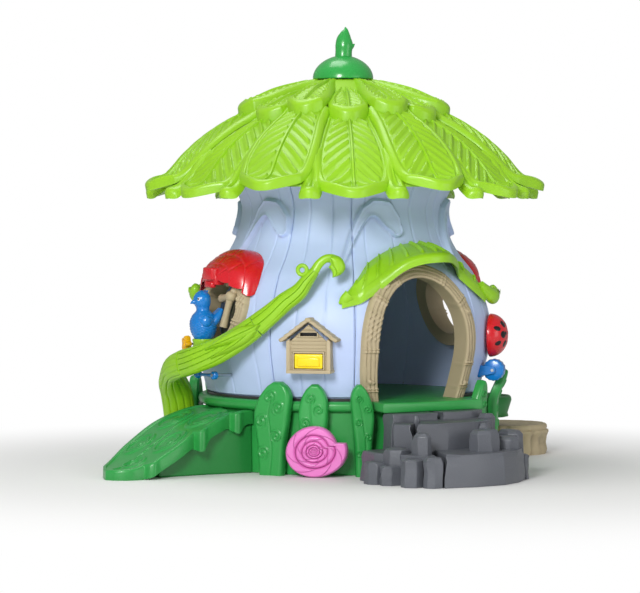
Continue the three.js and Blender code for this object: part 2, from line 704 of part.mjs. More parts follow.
// Two arms on a back plate that bolts to the wall under the ladybug.
function rollerBracket(wall) {
  const { radius, height, length, pin } = ROLLER;
  const at = length / 2 + 8;
  const arms = [-at, at].map((x) => new THREE.BoxGeometry(10, 96, 40).translate(x, -(radius - 34), height));
  const plate = new THREE.BoxGeometry(2 * at + 6, 44, 60).translate(0, -(radius - 74), height - 4);
  const eye = bar([-at - 9, -radius, height], [at + 9, -radius, height], pin + 0.6, 12);
  const bracket = cut(join(welded(plate), ...arms.map(welded)), eye).rotateZ(radians(ROLLER.angle));
  return cut(bracket, wall);
}

// Height of the underside of the birdhouse's roof.
function hutCeiling(sideways) {
  const run = HUT.half + HUT.over;
  const eaveOut = HUT.eave - (HUT.over * (HUT.peak - HUT.eave)) / HUT.half;
  return lerp(HUT.peak - 13, eaveOut, Math.abs(sideways) / run);
}

const hutPinAxis = HUT.face - HUT.wall / 2;
const acrossFlap = (reach, radius, sides) => bar(
  acrossFrom(HUT.angle, hutPinAxis, FLAP.hinge, -reach),
  acrossFrom(HUT.angle, hutPinAxis, FLAP.hinge, reach), radius, sides,
);
const gable = (half, bottom, drop) => [
  [-half, bottom], [half, bottom], [half, hutCeiling(half) - drop], [0, hutCeiling(0) - drop],
  [-half, hutCeiling(half) - drop],
];
const upright = (half, bottom, top) => [[-half, bottom], [half, bottom], [half, top], [-half, top]];

function hutBox(wall) {
  const { half, bottom, face, angle } = HUT;
  const inner = face - HUT.wall;
  const body = prism(gable(half, bottom, 2 * GAP), angle, 560, face);
  return cut(body, prism(gable(half - HUT.wall, bottom + HUT.wall, HUT.lintel), angle, 540, inner),
    prism(upright(HUT.slotHalf, HUT.slotBottom, HUT.slotTop), angle, 600, face + 20),
    prism(upright(FLAP.half + 3, FLAP.bottom - 3, FLAP.hinge + FLAP.knuckle + 3), angle, 600, face + 20),
    acrossFlap(FLAP.half + 12, FLAP.pin + GAP, 8), wall);
}

function hutRoof(wall) {
  const run = HUT.half + HUT.over;
  const thick = HUT.roofThickness;
  const outline = [
    [-run, hutCeiling(run)], [0, hutCeiling(0)], [run, hutCeiling(run)], [run, hutCeiling(run) + thick],
    [0, HUT.peak + thick * 0.6], [-run, hutCeiling(run) + thick],
  ];
  return cut(prism(outline, HUT.angle, 560, HUT.face + HUT.roofForward), wall);
}

function flap() {
  const start = hutPinAxis - FLAP.thickness / 2;
  const plate = prism(upright(FLAP.half, FLAP.bottom, FLAP.hinge), HUT.angle, start, start + FLAP.thickness);
  const knuckle = acrossFlap(FLAP.half, FLAP.knuckle, 10);
  return cut(join(plate, knuckle), acrossFlap(FLAP.half + 9, FLAP.pin + 0.6, 8));
}

const flapPin = () => acrossFlap(FLAP.half + 12 - GAP, FLAP.pin, 8);

function flower() {
  const { angle, radius, height, size, thickness, pin } = FLOWER;
  const petals = arc(15, (t) => {
    const turn = 2 * Math.PI * t;
    const reach = size * (0.84 + 0.16 * Math.cos(5 * turn));
    return [reach * Math.cos(turn), height + reach * Math.sin(turn)];
  }).slice(0, -1);
  const bloom = prism(petals, angle, radius, radius + thickness);
  const socketEnd = place(angle, radius + thickness - 5, height);
  return cut(bloom, bar(place(angle, radius - 5, height), socketEnd, pin + 1, 10));
}

function flowerPin() {
  const { angle, radius, height, thickness, pin } = FLOWER;
  const end = place(angle, radius + thickness - 7, height);
  return bar(place(angle, wallRadius(height) + 1, height), end, pin, 10);
}

function lever() {
  const { angle, radius, height, knob, length } = LEVER;
  const across = (reach) => acrossFrom(angle, radius, height, reach);
  const grip = new THREE.SphereGeometry(knob, 8, 6).translate(...across(-length));
  const rod = bar(across(-length + 6), across(14), 8, 10);
  const eye = bar(place(angle, radius - 11, height), place(angle, radius + 11, height), 17, 14);
  const bore = bar(place(angle, radius - 20, height), place(angle, radius + 20, height), LEVER.pin + 1, 12);
  return cut(join(welded(grip), rod, eye), bore);
}

function leverPin() {
  const { angle, radius, height, pin } = LEVER;
  return bar(place(angle, wallRadius(height) + 2.5, height), place(angle, radius + 16, height), pin, 12);
}

// A shell whose outline widens by one coil over a full turn; it is cut flat where it stands on the floor.
function snailShell() {
  const { angle, least, most, middle, tallest, turned, near, far } = SNAIL;
  const coil = arc(24, (t) => {
    const turn = 2 * Math.PI * t + turned;
    const reach = lerp(least, most, t);
    return [reach * Math.cos(turn) + 2, middle + Math.min(reach, tallest) * Math.sin(turn)];
  }).slice(0, -1);
  return prism(coil, angle, near, far);
}

// ---------- assembly ----------
const QUARTERS = [['front', 0], ['right', 90], ['back', 180], ['left', -90]];
const POSTS = [
  ['leaf_post_left_a', { angle: -60, top: 410, width: 168, lean: 30 }],
  ['leaf_post_left_b', { angle: -44, top: 402, width: 128, lean: 8 }],
  ['leaf_post_door_left', { angle: -26.5, top: 405, width: 84, lean: -22, curl: 22 }],
  ['leaf_post_door_right', { angle: 28, top: 400, width: 96, lean: 16, curl: 12 }],
  ['leaf_post_right', { angle: 50, top: 440, width: 120, curl: 48 }],
  ['leaf_post_back_right', { angle: 126, top: 410, width: 150, lean: -16 }],
  ['leaf_post_back_door_right', { angle: 152, top: 400, width: 90, lean: -16, curl: 14 }],
  ['leaf_post_back_door_left', { angle: -152, top: 402, width: 90, lean: 16, curl: 14 }],
  ['leaf_post_back_left', { angle: -132, top: 396, width: 140, lean: 16 }],
];
const wallSkin = insideWall();

for (const [name, angle] of QUARTERS) add(`base_skirt_${name}`, skirtQuarter(angle), COLOUR.green);
add('floor_deck', floorDeck(), COLOUR.green);
add('door_sill', sill(0), COLOUR.green);
add('back_door_sill', sill(180), COLOUR.green);
for (const [name, shape] of POSTS) add(name, leafPost(shape), COLOUR.green);

const doorHole = doorOutline(DOOR.outerHalf, DOOR.outerTop, 2);
const doorOuter = doorOutline(DOOR.outerHalf, DOOR.outerTop);
const doorInner = doorOutline(DOOR.innerHalf, DOOR.innerTop).map(([x, z]) => [x, z < 325 ? z - 5 : z]);
const windowHole = windowOutline(WINDOW.half, WINDOW.bottom, WINDOW.top, 2);
const windowOuter = windowOutline(WINDOW.half, WINDOW.bottom, WINDOW.top);
const windowInner = windowOutline(WINDOW.innerHalf, WINDOW.innerBottom, WINDOW.innerTop);
for (const [name, angle] of QUARTERS) {
  const isDoor = angle % 180 === 0;
  add(`wall_${name}`, widePanel(angle, isDoor ? doorHole : windowHole), COLOUR.wall, 0.5);
  add(isDoor ? `${name}_door_frame` : `${name}_window_frame`, isDoor
    ? frameRing(angle, doorOuter, doorInner, FLOOR_TOP + GAP, 940)
    : frameRing(angle, windowOuter, windowInner, 500, 925), COLOUR.tan, 0.6);
}
const CORNERS = [['front_left', -45], ['front_right', 45], ['back_right', 135], ['back_left', -135]];
for (const [name, angle] of CORNERS) {
  add(`wall_${name}`, narrowPanel(angle), COLOUR.wall, 0.5);
}
add('front_awning', awning(0, wallSkin), COLOUR.lime);
add('back_awning', awning(180, wallSkin), COLOUR.lime);
add('left_window_hood', hood(-90, wallSkin), COLOUR.red, 0.3);
add('right_window_hood', hood(90, wallSkin), COLOUR.red, 0.3);

const SEAM = LEAF_PHASE + 180 / LEAVES;
add('roof_half_right', roofHalf(SEAM), COLOUR.lime);
add('roof_half_left', roofHalf(SEAM + 180), COLOUR.lime);
add('finial_cap', finialCap(), COLOUR.green, 0.25);
add('finial_stem', finialStem(), COLOUR.green, 0.25);

add('rock_steps', rockSteps(), COLOUR.rock, 0.5);
add('stump_step', stumpStep(), COLOUR.tan, 0.6);
add('leaf_landing', leafLanding(), COLOUR.darkGreen);
add('ramp_leaf', rampLeaf(), COLOUR.green);
add('ramp_support', rampSupport(), COLOUR.darkGreen);

add('vine_stalk', vineStalk(), COLOUR.lime);
add('vine_rail', vineRail(), COLOUR.lime);
add('vine_tip', vineTip(), COLOUR.lime);
add('bird', birdBody(), COLOUR.blue, 0.3);
add('bird_pin', birdPin(), COLOUR.steel, 0.3, 1);
add('ladybug', ladybug(), COLOUR.red, 0.3);
add('ladybug_pin', ladybugPin(), COLOUR.steel, 0.3, 1);
add('roller', roller(), COLOUR.blue, 0.3);
add('roller_pin', rollerPin(), COLOUR.steel, 0.3, 1);
add('roller_bracket', rollerBracket(wallSkin), COLOUR.blue, 0.3);
add('birdhouse_box', hutBox(wallSkin), COLOUR.tan, 0.6);
add('birdhouse_roof', hutRoof(wallSkin), COLOUR.tan, 0.6);
add('birdhouse_flap', flap(), COLOUR.yellow, 0.3);
add('birdhouse_flap_pin', flapPin(), COLOUR.steel, 0.3, 1);
add('flower_spinner', flower(), COLOUR.orange, 0.3);
add('flower_pin', flowerPin(), COLOUR.steel, 0.3, 1);
add('lever', lever(), COLOUR.blue, 0.3);
add('lever_pin', leverPin(), COLOUR.steel, 0.3, 1);
add('snail_shell', snailShell(), COLOUR.pink, 0.35);

export default house;
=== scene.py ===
"""Looks of a moulded plastic playhouse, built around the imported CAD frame. Metres, +Z up, door on -Y."""
import math

import bmesh
import bpy
import numpy as np
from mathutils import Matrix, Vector

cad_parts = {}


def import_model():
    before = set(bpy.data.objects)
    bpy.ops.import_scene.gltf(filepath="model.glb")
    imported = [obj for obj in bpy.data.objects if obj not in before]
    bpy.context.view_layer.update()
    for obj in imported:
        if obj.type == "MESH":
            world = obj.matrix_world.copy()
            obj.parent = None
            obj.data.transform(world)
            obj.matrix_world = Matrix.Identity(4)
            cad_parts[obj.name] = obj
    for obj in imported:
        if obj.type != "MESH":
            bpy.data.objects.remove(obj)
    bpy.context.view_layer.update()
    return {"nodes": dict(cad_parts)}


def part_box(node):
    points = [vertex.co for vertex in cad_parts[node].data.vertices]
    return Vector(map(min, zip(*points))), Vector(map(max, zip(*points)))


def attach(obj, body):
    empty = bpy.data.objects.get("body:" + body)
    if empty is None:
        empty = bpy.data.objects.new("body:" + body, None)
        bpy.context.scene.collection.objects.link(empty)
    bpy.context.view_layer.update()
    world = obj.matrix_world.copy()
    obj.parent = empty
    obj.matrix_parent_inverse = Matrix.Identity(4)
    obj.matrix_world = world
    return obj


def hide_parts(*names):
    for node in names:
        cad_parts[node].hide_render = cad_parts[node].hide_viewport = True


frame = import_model()

# ---------- driving dimensions ----------
FLOOR_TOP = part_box("floor_deck")[1][2]
EAVE_RADIUS = 0.921
CAP_BASE = 1.751
LEAVES = 14
LEAF_PITCH = 360 / LEAVES
LEAF_PHASE = -29.8
WIDE_HALF = 28.5
NARROW_HALF = 16.5
WALL_THICKNESS = 0.014
WALL_TOP = 1.478
FRAME_PROUD = 0.020
FRAME_DEEP = 0.074
DOOR = {"outer": 0.300, "inner": 0.234, "widest": 0.570, "outer_top": 0.922, "inner_top": 0.860, "sag": 0.505}
WINDOW = {"outer": (0.200, 0.1925), "inner": (0.146, 0.137), "centre": 0.7125}
CURL_ENDS = (-124, -62, 0, 62, 124, 186)
LARGEST_PULL = 0.56
FLAP_PIN_HEIGHT = 0.529
BIRD_STAND_ANGLE = -88
BIRD_STAND_RADIUS = 0.754
DOME_RADIUS = 0.815
TIER_EDGE = 0.492
FILLER_EDGE = 0.897
LANDING_ROOT = 0.640
LADYBUG_RADIUS = 0.098
LADYBUG_RISE = 0.079
LADYBUG_FLANGE = 0.004
# Level directions to the right of the camera and away from it.
CAMERA_SIDE = (0.842, -0.539, 0)
CAMERA_AWAY = (0.539, 0.842, 0)

# ---------- colours, linear ----------


def linear(hex_colour):
    """The linear value of an sRGB colour written as rrggbb."""
    channels = [int(hex_colour[i:i + 2], 16) / 255 for i in (0, 2, 4)]
    return tuple(c / 12.92 if c <= 0.04045 else ((c + 0.055) / 1.055) ** 2.4 for c in channels)


COLOURS = {
    "lime": "92c81f", "green": "2c9a46", "deep_green": "1c7a34", "cap_green": "2fa048",
    "wall": "b9caee", "tan": "b3a484", "rock": "5c5f66", "red": "cf1622", "blue": "0a78c8",
    "yellow": "f8d60a", "orange": "f5b80c", "pink": "e67cc6", "black": "0c0c0e", "steel": "b4b8bc",
    "white": "f2f2f2",
}

# ---------- numbers and places ----------


def polar(angle, radius, height):
    """A point at a direction seen from above, 0 at the door and 90 at +X; takes arrays."""
    turn = np.radians(angle)
    return np.stack(np.broadcast_arrays(radius * np.sin(turn), -radius * np.cos(turn), height), axis=-1)


def curve_through(pairs):
    """A smooth curve through (x, y) pairs whose x rises: gives y at x."""
    xs, ys = np.array(pairs, float).T
    slope = np.empty_like(ys)
    slope[1:-1] = (ys[2:] - ys[:-2]) / (xs[2:] - xs[:-2])
    slope[0] = (ys[1] - ys[0]) / (xs[1] - xs[0])
    slope[-1] = (ys[-1] - ys[-2]) / (xs[-1] - xs[-2])

    def value(x):
        x = np.asarray(x, float)
        i = np.clip(np.searchsorted(xs, x, side="right") - 1, 0, len(xs) - 2)
        width = xs[i + 1] - xs[i]
        t = np.clip((x - xs[i]) / width, 0, 1)
        return ((2 * t**3 - 3 * t**2 + 1) * ys[i] + (t**3 - 2 * t**2 + t) * width * slope[i]
                + (3 * t**2 - 2 * t**3) * ys[i + 1] + (t**3 - t**2) * width * slope[i + 1])
    return value


def smoothstep(low, high, x):
    t = np.clip((np.asarray(x, float) - low) / (high - low), 0, 1)
    return t * t * (3 - 2 * t)


def bell(distance, width):
    return np.exp(-(np.asarray(distance) / width) ** 2)


def turned(points, angle):
    """Points turned about the house's axis."""
    c, s = math.cos(math.radians(angle)), math.sin(math.radians(angle))
    x, y, z = points[..., 0], points[..., 1], points[..., 2]
    return np.stack([c * x - s * y, s * x + c * y, z], axis=-1)


def distance_to_path(x, y, path):
    """Distance from points to a path of (x, y, half width) stations, less the half width there."""
    best = np.full(np.shape(x), 1e9)
    for (ax, ay, aw), (bx, by, bw) in zip(path[:-1], path[1:]):
        dx, dy = bx - ax, by - ay
        t = np.clip(((x - ax) * dx + (y - ay) * dy) / (dx * dx + dy * dy), 0, 1)
        gap = np.hypot(x - ax - t * dx, y - ay - t * dy) - (aw + t * (bw - aw))
        best = np.minimum(best, gap)
    return best


wall_radius = curve_through([
    (0.323, 0.618), (0.410, 0.640), (0.560, 0.672), (0.700, 0.663), (0.864, 0.598), (0.957, 0.529),
    (1.040, 0.486), (1.160, 0.460), (1.250, 0.492), (1.330, 0.540), (1.420, 0.572), (1.506, 0.582)])
roof_top = curve_through([
    (0.12, 1.752), (0.17, 1.742), (0.32, 1.699), (0.472, 1.596), (0.559, 1.548), (0.659, 1.479),
    (0.747, 1.398), (0.810, 1.323), (0.850, 1.296), (0.921, 1.283)])
tier_top = curve_through([
    (0.12, 1.750), (0.17, 1.742), (0.32, 1.705), (0.42, 1.662), (0.492, 1.630)])

# ---------- meshes ----------


def make_object(name, vertices, faces, sharp_angle=38):
    """A mesh object from points and faces, with its normals outward and its shading smooth."""
    mesh = bpy.data.meshes.new(name)
    mesh.from_pydata(np.asarray(vertices).reshape(-1, 3).tolist(), [], faces)
    work = bmesh.new()
    work.from_mesh(mesh)
    bmesh.ops.remove_doubles(work, verts=work.verts, dist=1e-6)
    loose = [v for v in work.verts if not v.link_faces]
    bmesh.ops.delete(work, geom=loose, context="VERTS")
    bmesh.ops.recalc_face_normals(work, faces=work.faces)
    work.to_mesh(mesh)
    work.free()
    mesh.shade_smooth()
    mesh.set_sharp_from_angle(angle=math.radians(sharp_angle))
    obj = bpy.data.objects.new(name, mesh)
    bpy.context.scene.collection.objects.link(obj)
    return obj


def sheet_faces(outer, inner, keep=None):
    """Points and faces of the closed solid between two grids of points, where keep is true."""
    rows, cols = outer.shape[:2]
    keep = np.ones((rows - 1, cols - 1), bool) if keep is None else keep
    index = np.arange(rows * cols).reshape(rows, cols)
    layer = rows * cols
    a, b, c, d = index[:-1, :-1], index[:-1, 1:], index[1:, 1:], index[1:, :-1]
    faces = [np.stack([a, b, c, d], -1)[keep], np.stack([a, d, c, b], -1)[keep] + layer]
    around = np.pad(keep, 1)
    sides = ((a, b, around[:-2, 1:-1]), (b, c, around[1:-1, 2:]),
             (c, d, around[2:, 1:-1]), (d, a, around[1:-1, :-2]))
    for start, end, neighbour in sides:
        open_side = keep & ~neighbour
        quad = np.stack([end, start, start + layer, end + layer], -1)
        faces.append(quad[open_side])
    points = np.concatenate([outer.reshape(-1, 3), inner.reshape(-1, 3)])
    return points, np.concatenate(faces).tolist()


def sheet(name, outer, inner, keep=None, sharp_angle=38):
    return make_object(name, *sheet_faces(outer, inner, keep), sharp_angle=sharp_angle)


def loft_faces(rings, closed=False):
    """Points and faces of a body skinned over rings of points, capped at its ends."""
    count, around = rings.shape[:2]
    index = np.arange(count * around).reshape(count, around)
    after = np.roll(index, -1, axis=1)
    faces = np.stack([index[:-1], after[:-1], after[1:], index[1:]], -1).reshape(-1, 4).tolist()
    if closed:
        faces += np.stack([index[-1], after[-1], after[0], index[0]], -1).tolist()
    else:
        faces += [index[0][::-1].tolist(), index[-1].tolist()]
    return rings.reshape(-1, 3), faces


def loft(name, rings, closed=False, sharp_angle=38):
    return make_object(name, *loft_faces(rings, closed), sharp_angle=sharp_angle)


def merged(name, bodies, sharp_angle=38):
    """One object from several (points, faces) bodies."""
    vertices, faces, start = [], [], 0
    for points, some in bodies:
        points = np.asarray(points).reshape(-1, 3)
        vertices.append(points)
        faces += [[i + start for i in face] for face in some]
        start += len(points)
    return make_object(name, np.concatenate(vertices), faces, sharp_angle)


def plate_faces(outline, near, far, bevel, angle):
    """Points and faces of an outline (x, z) standing between two distances from the house's axis."""
    outline = np.array(outline, float)
    middle = outline.mean(axis=0)
    rings = []
    for depth, pull in ((near, bevel), (near + bevel, 0), (far - bevel, 0), (far - 0.3 * bevel, 0.4 * bevel),
                        (far, bevel)):
        away = outline - middle
        length = np.maximum(np.linalg.norm(away, axis=1, keepdims=True), 1e-6)
        loop = middle + away * (1 - np.minimum(pull / length, LARGEST_PULL))
        rings.append(np.stack([loop[:, 0], np.full(len(loop), -depth), loop[:, 1]], -1))
    return loft_faces(turned(np.array(rings), angle))


def rod_faces(start, end, radius, sides=20, bevel=0.002):
    """Points and faces of a round rod with eased ends."""
    start, end = np.array(start, float), np.array(end, float)
    along = (end - start) / np.linalg.norm(end - start)
    side = np.cross(along, [0.3, 0.2, 0.93])
    side /= np.linalg.norm(side)
    other = np.cross(along, side)
    turn = np.linspace(0, 2 * np.pi, sides, endpoint=False)[:, None]
    circle = np.cos(turn) * side + np.sin(turn) * other
    stations = ((start, radius - bevel), (start + along * bevel, radius), (end - along * bevel, radius),
                (end, radius - bevel))
    return loft_faces(np.array([centre + circle * r for centre, r in stations]))


def ball_faces(centre, radius, squash=(1, 1, 1), rows=14, sides=24):
    """Points and faces of a ball, stretched along the axes if asked."""
    turn = np.linspace(0, 2 * np.pi, sides, endpoint=False)
    rise = np.linspace(-np.pi / 2 + 0.04, np.pi / 2 - 0.04, rows)[:, None]
    parts = (np.cos(rise) * np.cos(turn), np.cos(rise) * np.sin(turn), np.sin(rise))
    unit = np.stack(np.broadcast_arrays(*parts), -1)
    return loft_faces(np.array(centre) + unit * radius * np.array(squash))


def sideways_from(angle, radius, height, across):
    """A point beside a direction: `across` metres to the right of it when seen from outside."""
    return turned(np.array([across, -radius, height], float), angle)


def revolve(name, profile, sides=96, start=0.0, end=360.0, sharp_angle=38, warp=None):
    """A closed (radius, height) loop turned about the house's axis, the whole way or part of it."""
    whole = end - start >= 360
    angles = np.linspace(start, end, sides + 1)[: sides if whole else None]
    loop = np.array(profile, float)
    rings = polar(angles[:, None], loop[None, :, 0], loop[None, :, 1])
    if warp is not None:
        rings = warp(rings)
    return loft(name, rings, closed=whole, sharp_angle=sharp_angle)


def rounded(loop, radius, steps=4):
    """A closed loop of 2D points with its corners rounded."""
    loop = np.array(loop, float)
    result = []
    for i, corner in enumerate(loop):
        before, after = loop[i - 1], loop[(i + 1) % len(loop)]
        reach = min(radius, 0.45 * np.linalg.norm(before - corner), 0.45 * np.linalg.norm(after - corner))
        a = corner + (before - corner) / np.linalg.norm(before - corner) * reach
        b = corner + (after - corner) / np.linalg.norm(after - corner) * reach
        for t in np.linspace(0, 1, steps + 1):
            result.append((1 - t) ** 2 * a + 2 * t * (1 - t) * corner + t * t * b)
    return np.array(result)


def along_path(points, count):
    """Points and tangents evenly spaced by parameter along a smooth path."""
    points = np.array(points, float)
    knots = np.linspace(0, 1, len(points))
    ts = np.linspace(0, 1, count)
    curves = [curve_through(list(zip(knots, points[:, k]))) for k in range(points.shape[1])]
    here = np.stack([c(ts) for c in curves], -1)
    return here, np.gradient(here, axis=0)


def tube_rings(path, radii, count=40, sides=16, flatten=1.0, outward=None):
    """Rings of a round or flattened tube along a path, one radius for each of its points."""
    both = np.concatenate([np.array(path, float), np.array(radii, float)[:, None]], axis=1)
    here, tangent = along_path(both, count)
    centre, radius = here[:, :3], here[:, 3]
    tangent = tangent[:, :3] / np.linalg.norm(tangent[:, :3], axis=1, keepdims=True)
    away = centre * np.array([1, 1, 0]) if outward is None else np.broadcast_to(outward, centre.shape)
    side = np.cross(tangent, away)
    side /= np.linalg.norm(side, axis=1, keepdims=True)
    front = np.cross(side, tangent)
    turn = np.linspace(0, 2 * np.pi, sides, endpoint=False)
    return (centre[:, None] + radius[:, None, None] * (
        np.cos(turn)[None, :, None] * side[:, None] + flatten * np.sin(turn)[None, :, None] * front[:, None]))


def add_bevel(obj, width, segments=3, angle=30):
    bevel = obj.modifiers.new("edge", "BEVEL")
    bevel.width = width
    bevel.segments = segments
    bevel.limit_method = "ANGLE"
    bevel.angle_limit = math.radians(angle)
    return obj


# ---------- materials ----------


def new_material(name):
    material = bpy.data.materials.new(name)
    material.use_nodes = True
    nodes = material.node_tree.nodes
    return material, nodes, material.node_tree.links, nodes["Principled BSDF"]


def moulded_plastic(name, colour, roughness=0.42, grain=0.0009, grain_scale=260, shade=0.82, coat=0.0):
    """Rotomoulded plastic: a fine pebbled skin, slow changes of tone, painted shade in its creases, painted
    highlights on its edges.
    """
    material, nodes, links, shader = new_material(name)
    base = linear(COLOURS[colour])
    place_node = nodes.new("ShaderNodeTexCoord")
    clouds = nodes.new("ShaderNodeTexNoise")
    clouds.inputs["Scale"].default_value = 3.2
    clouds.inputs["Detail"].default_value = 4.0
    links.new(place_node.outputs["Object"], clouds.inputs["Vector"])
    tone = nodes.new("ShaderNodeValToRGB")
    tone.color_ramp.elements[0].position = 0.30
    tone.color_ramp.elements[1].position = 0.72
    tone.color_ramp.elements[0].color = (*[c * 0.92 for c in base], 1)
    tone.color_ramp.elements[1].color = (*[min(1, c * 1.05) for c in base], 1)
    links.new(clouds.outputs["Fac"], tone.inputs["Fac"])
    geometry = nodes.new("ShaderNodeNewGeometry")
    # painted shade: concave creases and corners are darkened by the shade factor
    crease = nodes.new("ShaderNodeValToRGB")
    crease.color_ramp.elements[0].position = 0.40
    crease.color_ramp.elements[0].color = (shade, shade, shade, 1)
    crease.color_ramp.elements[1].position = 0.50
    crease.color_ramp.elements[1].color = (1, 1, 1, 1)
    links.new(geometry.outputs["Pointiness"], crease.inputs["Fac"])
    mix = nodes.new("ShaderNodeMix")
    mix.data_type = "RGBA"
    mix.blend_type = "MULTIPLY"
    mix.inputs["Factor"].default_value = 1.0
    links.new(tone.outputs["Color"], mix.inputs["A"])
    links.new(crease.outputs["Color"], mix.inputs["B"])
    # painted highlight: convex edges are lightened toward a pale tint of the base colour
    edge_highlight = nodes.new("ShaderNodeValToRGB")
    edge_highlight.color_ramp.elements[0].position = 0.56
    edge_highlight.color_ramp.elements[0].color = (0, 0, 0, 1)
    edge_highlight.color_ramp.elements[1].position = 0.70
    edge_highlight.color_ramp.elements[1].color = (0.16, 0.16, 0.16, 1)
    links.new(geometry.outputs["Pointiness"], edge_highlight.inputs["Fac"])
    edge = nodes.new("ShaderNodeMix")
    edge.data_type = "RGBA"
    links.new(edge_highlight.outputs["Color"], edge.inputs["Factor"])
    links.new(mix.outputs["Result"], edge.inputs["A"])
    edge.inputs["B"].default_value = (*[min(1, 0.35 + 0.75 * c) for c in base], 1)
    links.new(edge.outputs["Result"], shader.inputs["Base Color"])
    scuffs = nodes.new("ShaderNodeTexNoise")
    scuffs.inputs["Scale"].default_value = 24
    scuffs.inputs["Detail"].default_value = 6.0
    links.new(place_node.outputs["Object"], scuffs.inputs["Vector"])
    gloss = nodes.new("ShaderNodeMapRange")
    gloss.inputs["To Min"].default_value = roughness - 0.05
    gloss.inputs["To Max"].default_value = roughness + 0.07
    links.new(scuffs.outputs["Fac"], gloss.inputs["Value"])
    links.new(gloss.outputs["Result"], shader.inputs["Roughness"])
    pebbles = nodes.new("ShaderNodeTexNoise")
    pebbles.inputs["Scale"].default_value = grain_scale
    pebbles.inputs["Detail"].default_value = 2.0
    links.new(place_node.outputs["Object"], pebbles.inputs["Vector"])
    bump = nodes.new("ShaderNodeBump")
    bump.inputs["Strength"].default_value = 0.35
    bump.inputs["Distance"].default_value = grain
    links.new(pebbles.outputs["Fac"], bump.inputs["Height"])
    links.new(bump.outputs["Normal"], shader.inputs["Normal"])
    shader.inputs["Specular IOR Level"].default_value = 0.45
    shader.inputs["Coat Weight"].default_value = coat
    shader.inputs["Coat Roughness"].default_value = 0.12
    return material


LIME = moulded_plastic("lime_plastic", "lime", 0.36, shade=0.72, coat=0.12)
LIME_UNDER = moulded_plastic("lime_underside", "lime", 0.55, shade=0.85)
GREEN = moulded_plastic("green_plastic", "green", 0.36, shade=0.72, coat=0.15)
DEEP_GREEN = moulded_plastic("deep_green_plastic", "deep_green", 0.42, shade=0.75)
CAP_GREEN = moulded_plastic("cap_green_plastic", "cap_green", 0.26, grain=0.0004, coat=0.3)
WALL = moulded_plastic("wall_plastic", "wall", 0.46, grain=0.0011, shade=0.72)
TAN = moulded_plastic("tan_plastic", "tan", 0.55, grain=0.0014, grain_scale=180, shade=0.48)
ROCK = moulded_plastic("rock_plastic", "rock", 0.38, grain=0.0030, grain_scale=120, shade=0.66)
RED = moulded_plastic("red_plastic", "red", 0.26, grain=0.0004, shade=0.66, coat=0.3)
BLUE = moulded_plastic("blue_plastic", "blue", 0.26, grain=0.0004, shade=0.72, coat=0.3)
YELLOW = moulded_plastic("yellow_plastic", "yellow", 0.28, grain=0.0004, coat=0.3)
ORANGE = moulded_plastic("orange_plastic", "orange", 0.30, grain=0.0004, coat=0.2)
PINK = moulded_plastic("pink_plastic", "pink", 0.32, grain=0.0005, shade=0.60, coat=0.2)
BLACK = moulded_plastic("black_plastic", "black", 0.35, grain=0.0004)
WHITE = moulded_plastic("white_plastic", "white", 0.30, grain=0.0003)


def steel():
    material, nodes, links, shader = new_material("pin_steel")
    shader.inputs["Base Color"].default_value = (*linear(COLOURS["steel"]), 1)
    shader.inputs["Metallic"].default_value = 1.0
    streaks = nodes.new("ShaderNodeTexNoise")
    streaks.inputs["Scale"].default_value = 300
    spread = nodes.new("ShaderNodeMapRange")
    spread.inputs["To Min"].default_value = 0.25
    spread.inputs["To Max"].default_value = 0.45
    links.new(streaks.outputs["Fac"], spread.inputs["Value"])
    links.new(spread.outputs["Result"], shader.inputs["Roughness"])
    return material


STEEL = steel()


def finish(obj, material, body="house", stands_for=()):
    """Gives a piece its material, its body and the CAD nodes it stands for."""
    obj.data.materials.clear()
    obj.data.materials.append(material)
    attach(obj, body)
    if stands_for:
        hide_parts(*stands_for)
    return obj


# ---------- roof ----------


def leaf_grid(centre, half_width, height, start, end, size, veins, lift, rim, blunt, cup):
    """Top and bottom point grids of one roof leaf lying on a height curve, embossed with rib and veins."""
    rows, cols = size
    pitch, slope, margin = veins
    a = (1 - (1 - np.linspace(0, 1, rows)) ** 1.5)[:, None]
    b = np.linspace(-1, 1, cols)[None, :]
    end_here = end - blunt * np.abs(b) ** 2.4
    radius = start + (end_here - start) * a
    width = half_width(radius)
    across = b * width
    angle = centre + np.degrees(across / np.maximum(radius, 0.05))
    to_end = end_here - radius
    inside = np.minimum((1 - np.abs(b)) * width, to_end)
    edge = np.clip(inside / 0.024, 0, 1)
    round_off = -0.021 * (1 - np.sqrt(1 - (1 - edge) ** 2))
    sunken = -0.011 * smoothstep(0.028, 0.038, inside)
    pillow = (-0.020 + cup * smoothstep(end - 0.17, end, radius)) * np.abs(b) ** 2.2
    rib = 0.013 * smoothstep(0.0075, 0.003, np.abs(across)) * smoothstep(0.0, 0.03, radius - start - 0.02)
    rib = rib * smoothstep(0.026, 0.040, to_end)
    phase = (radius - start - slope * np.abs(across)) / pitch
    off = np.abs(phase - np.floor(phase) - 0.5) * pitch / math.hypot(1, slope)
    field = smoothstep(0.011, 0.015, np.abs(across)) * smoothstep(margin, margin + 0.006, inside)
    field = field * smoothstep(0.03, 0.05, radius - start)
    vein = 0.013 * (pitch / 0.045) ** 2 * smoothstep(0.0085, 0.0025, off) * field
    top = height(radius) + lift + round_off + sunken + pillow + np.maximum(rib, vein)
    reach = (radius - start) / (end - start)
    hem = rim * (0.5 + 0.5 * smoothstep(0.7, 0.96, reach))
    outer = polar(angle, radius, top)
    inner = polar(angle, radius - 0.005 * (1 - edge), height(radius) + lift + 0.5 * pillow - 0.014 - hem)
    return outer, inner


def half_width_of(widest, root, start, middle, end, tip):
    """Half width of a leaf along its length: narrow at its root, widest at its middle."""
    def value(radius):
        rising = root + (widest - root) * smoothstep(start - 0.02, middle, radius)
        return rising * (1 - (1 - tip) * smoothstep(middle, end + 0.01, radius))
    return value


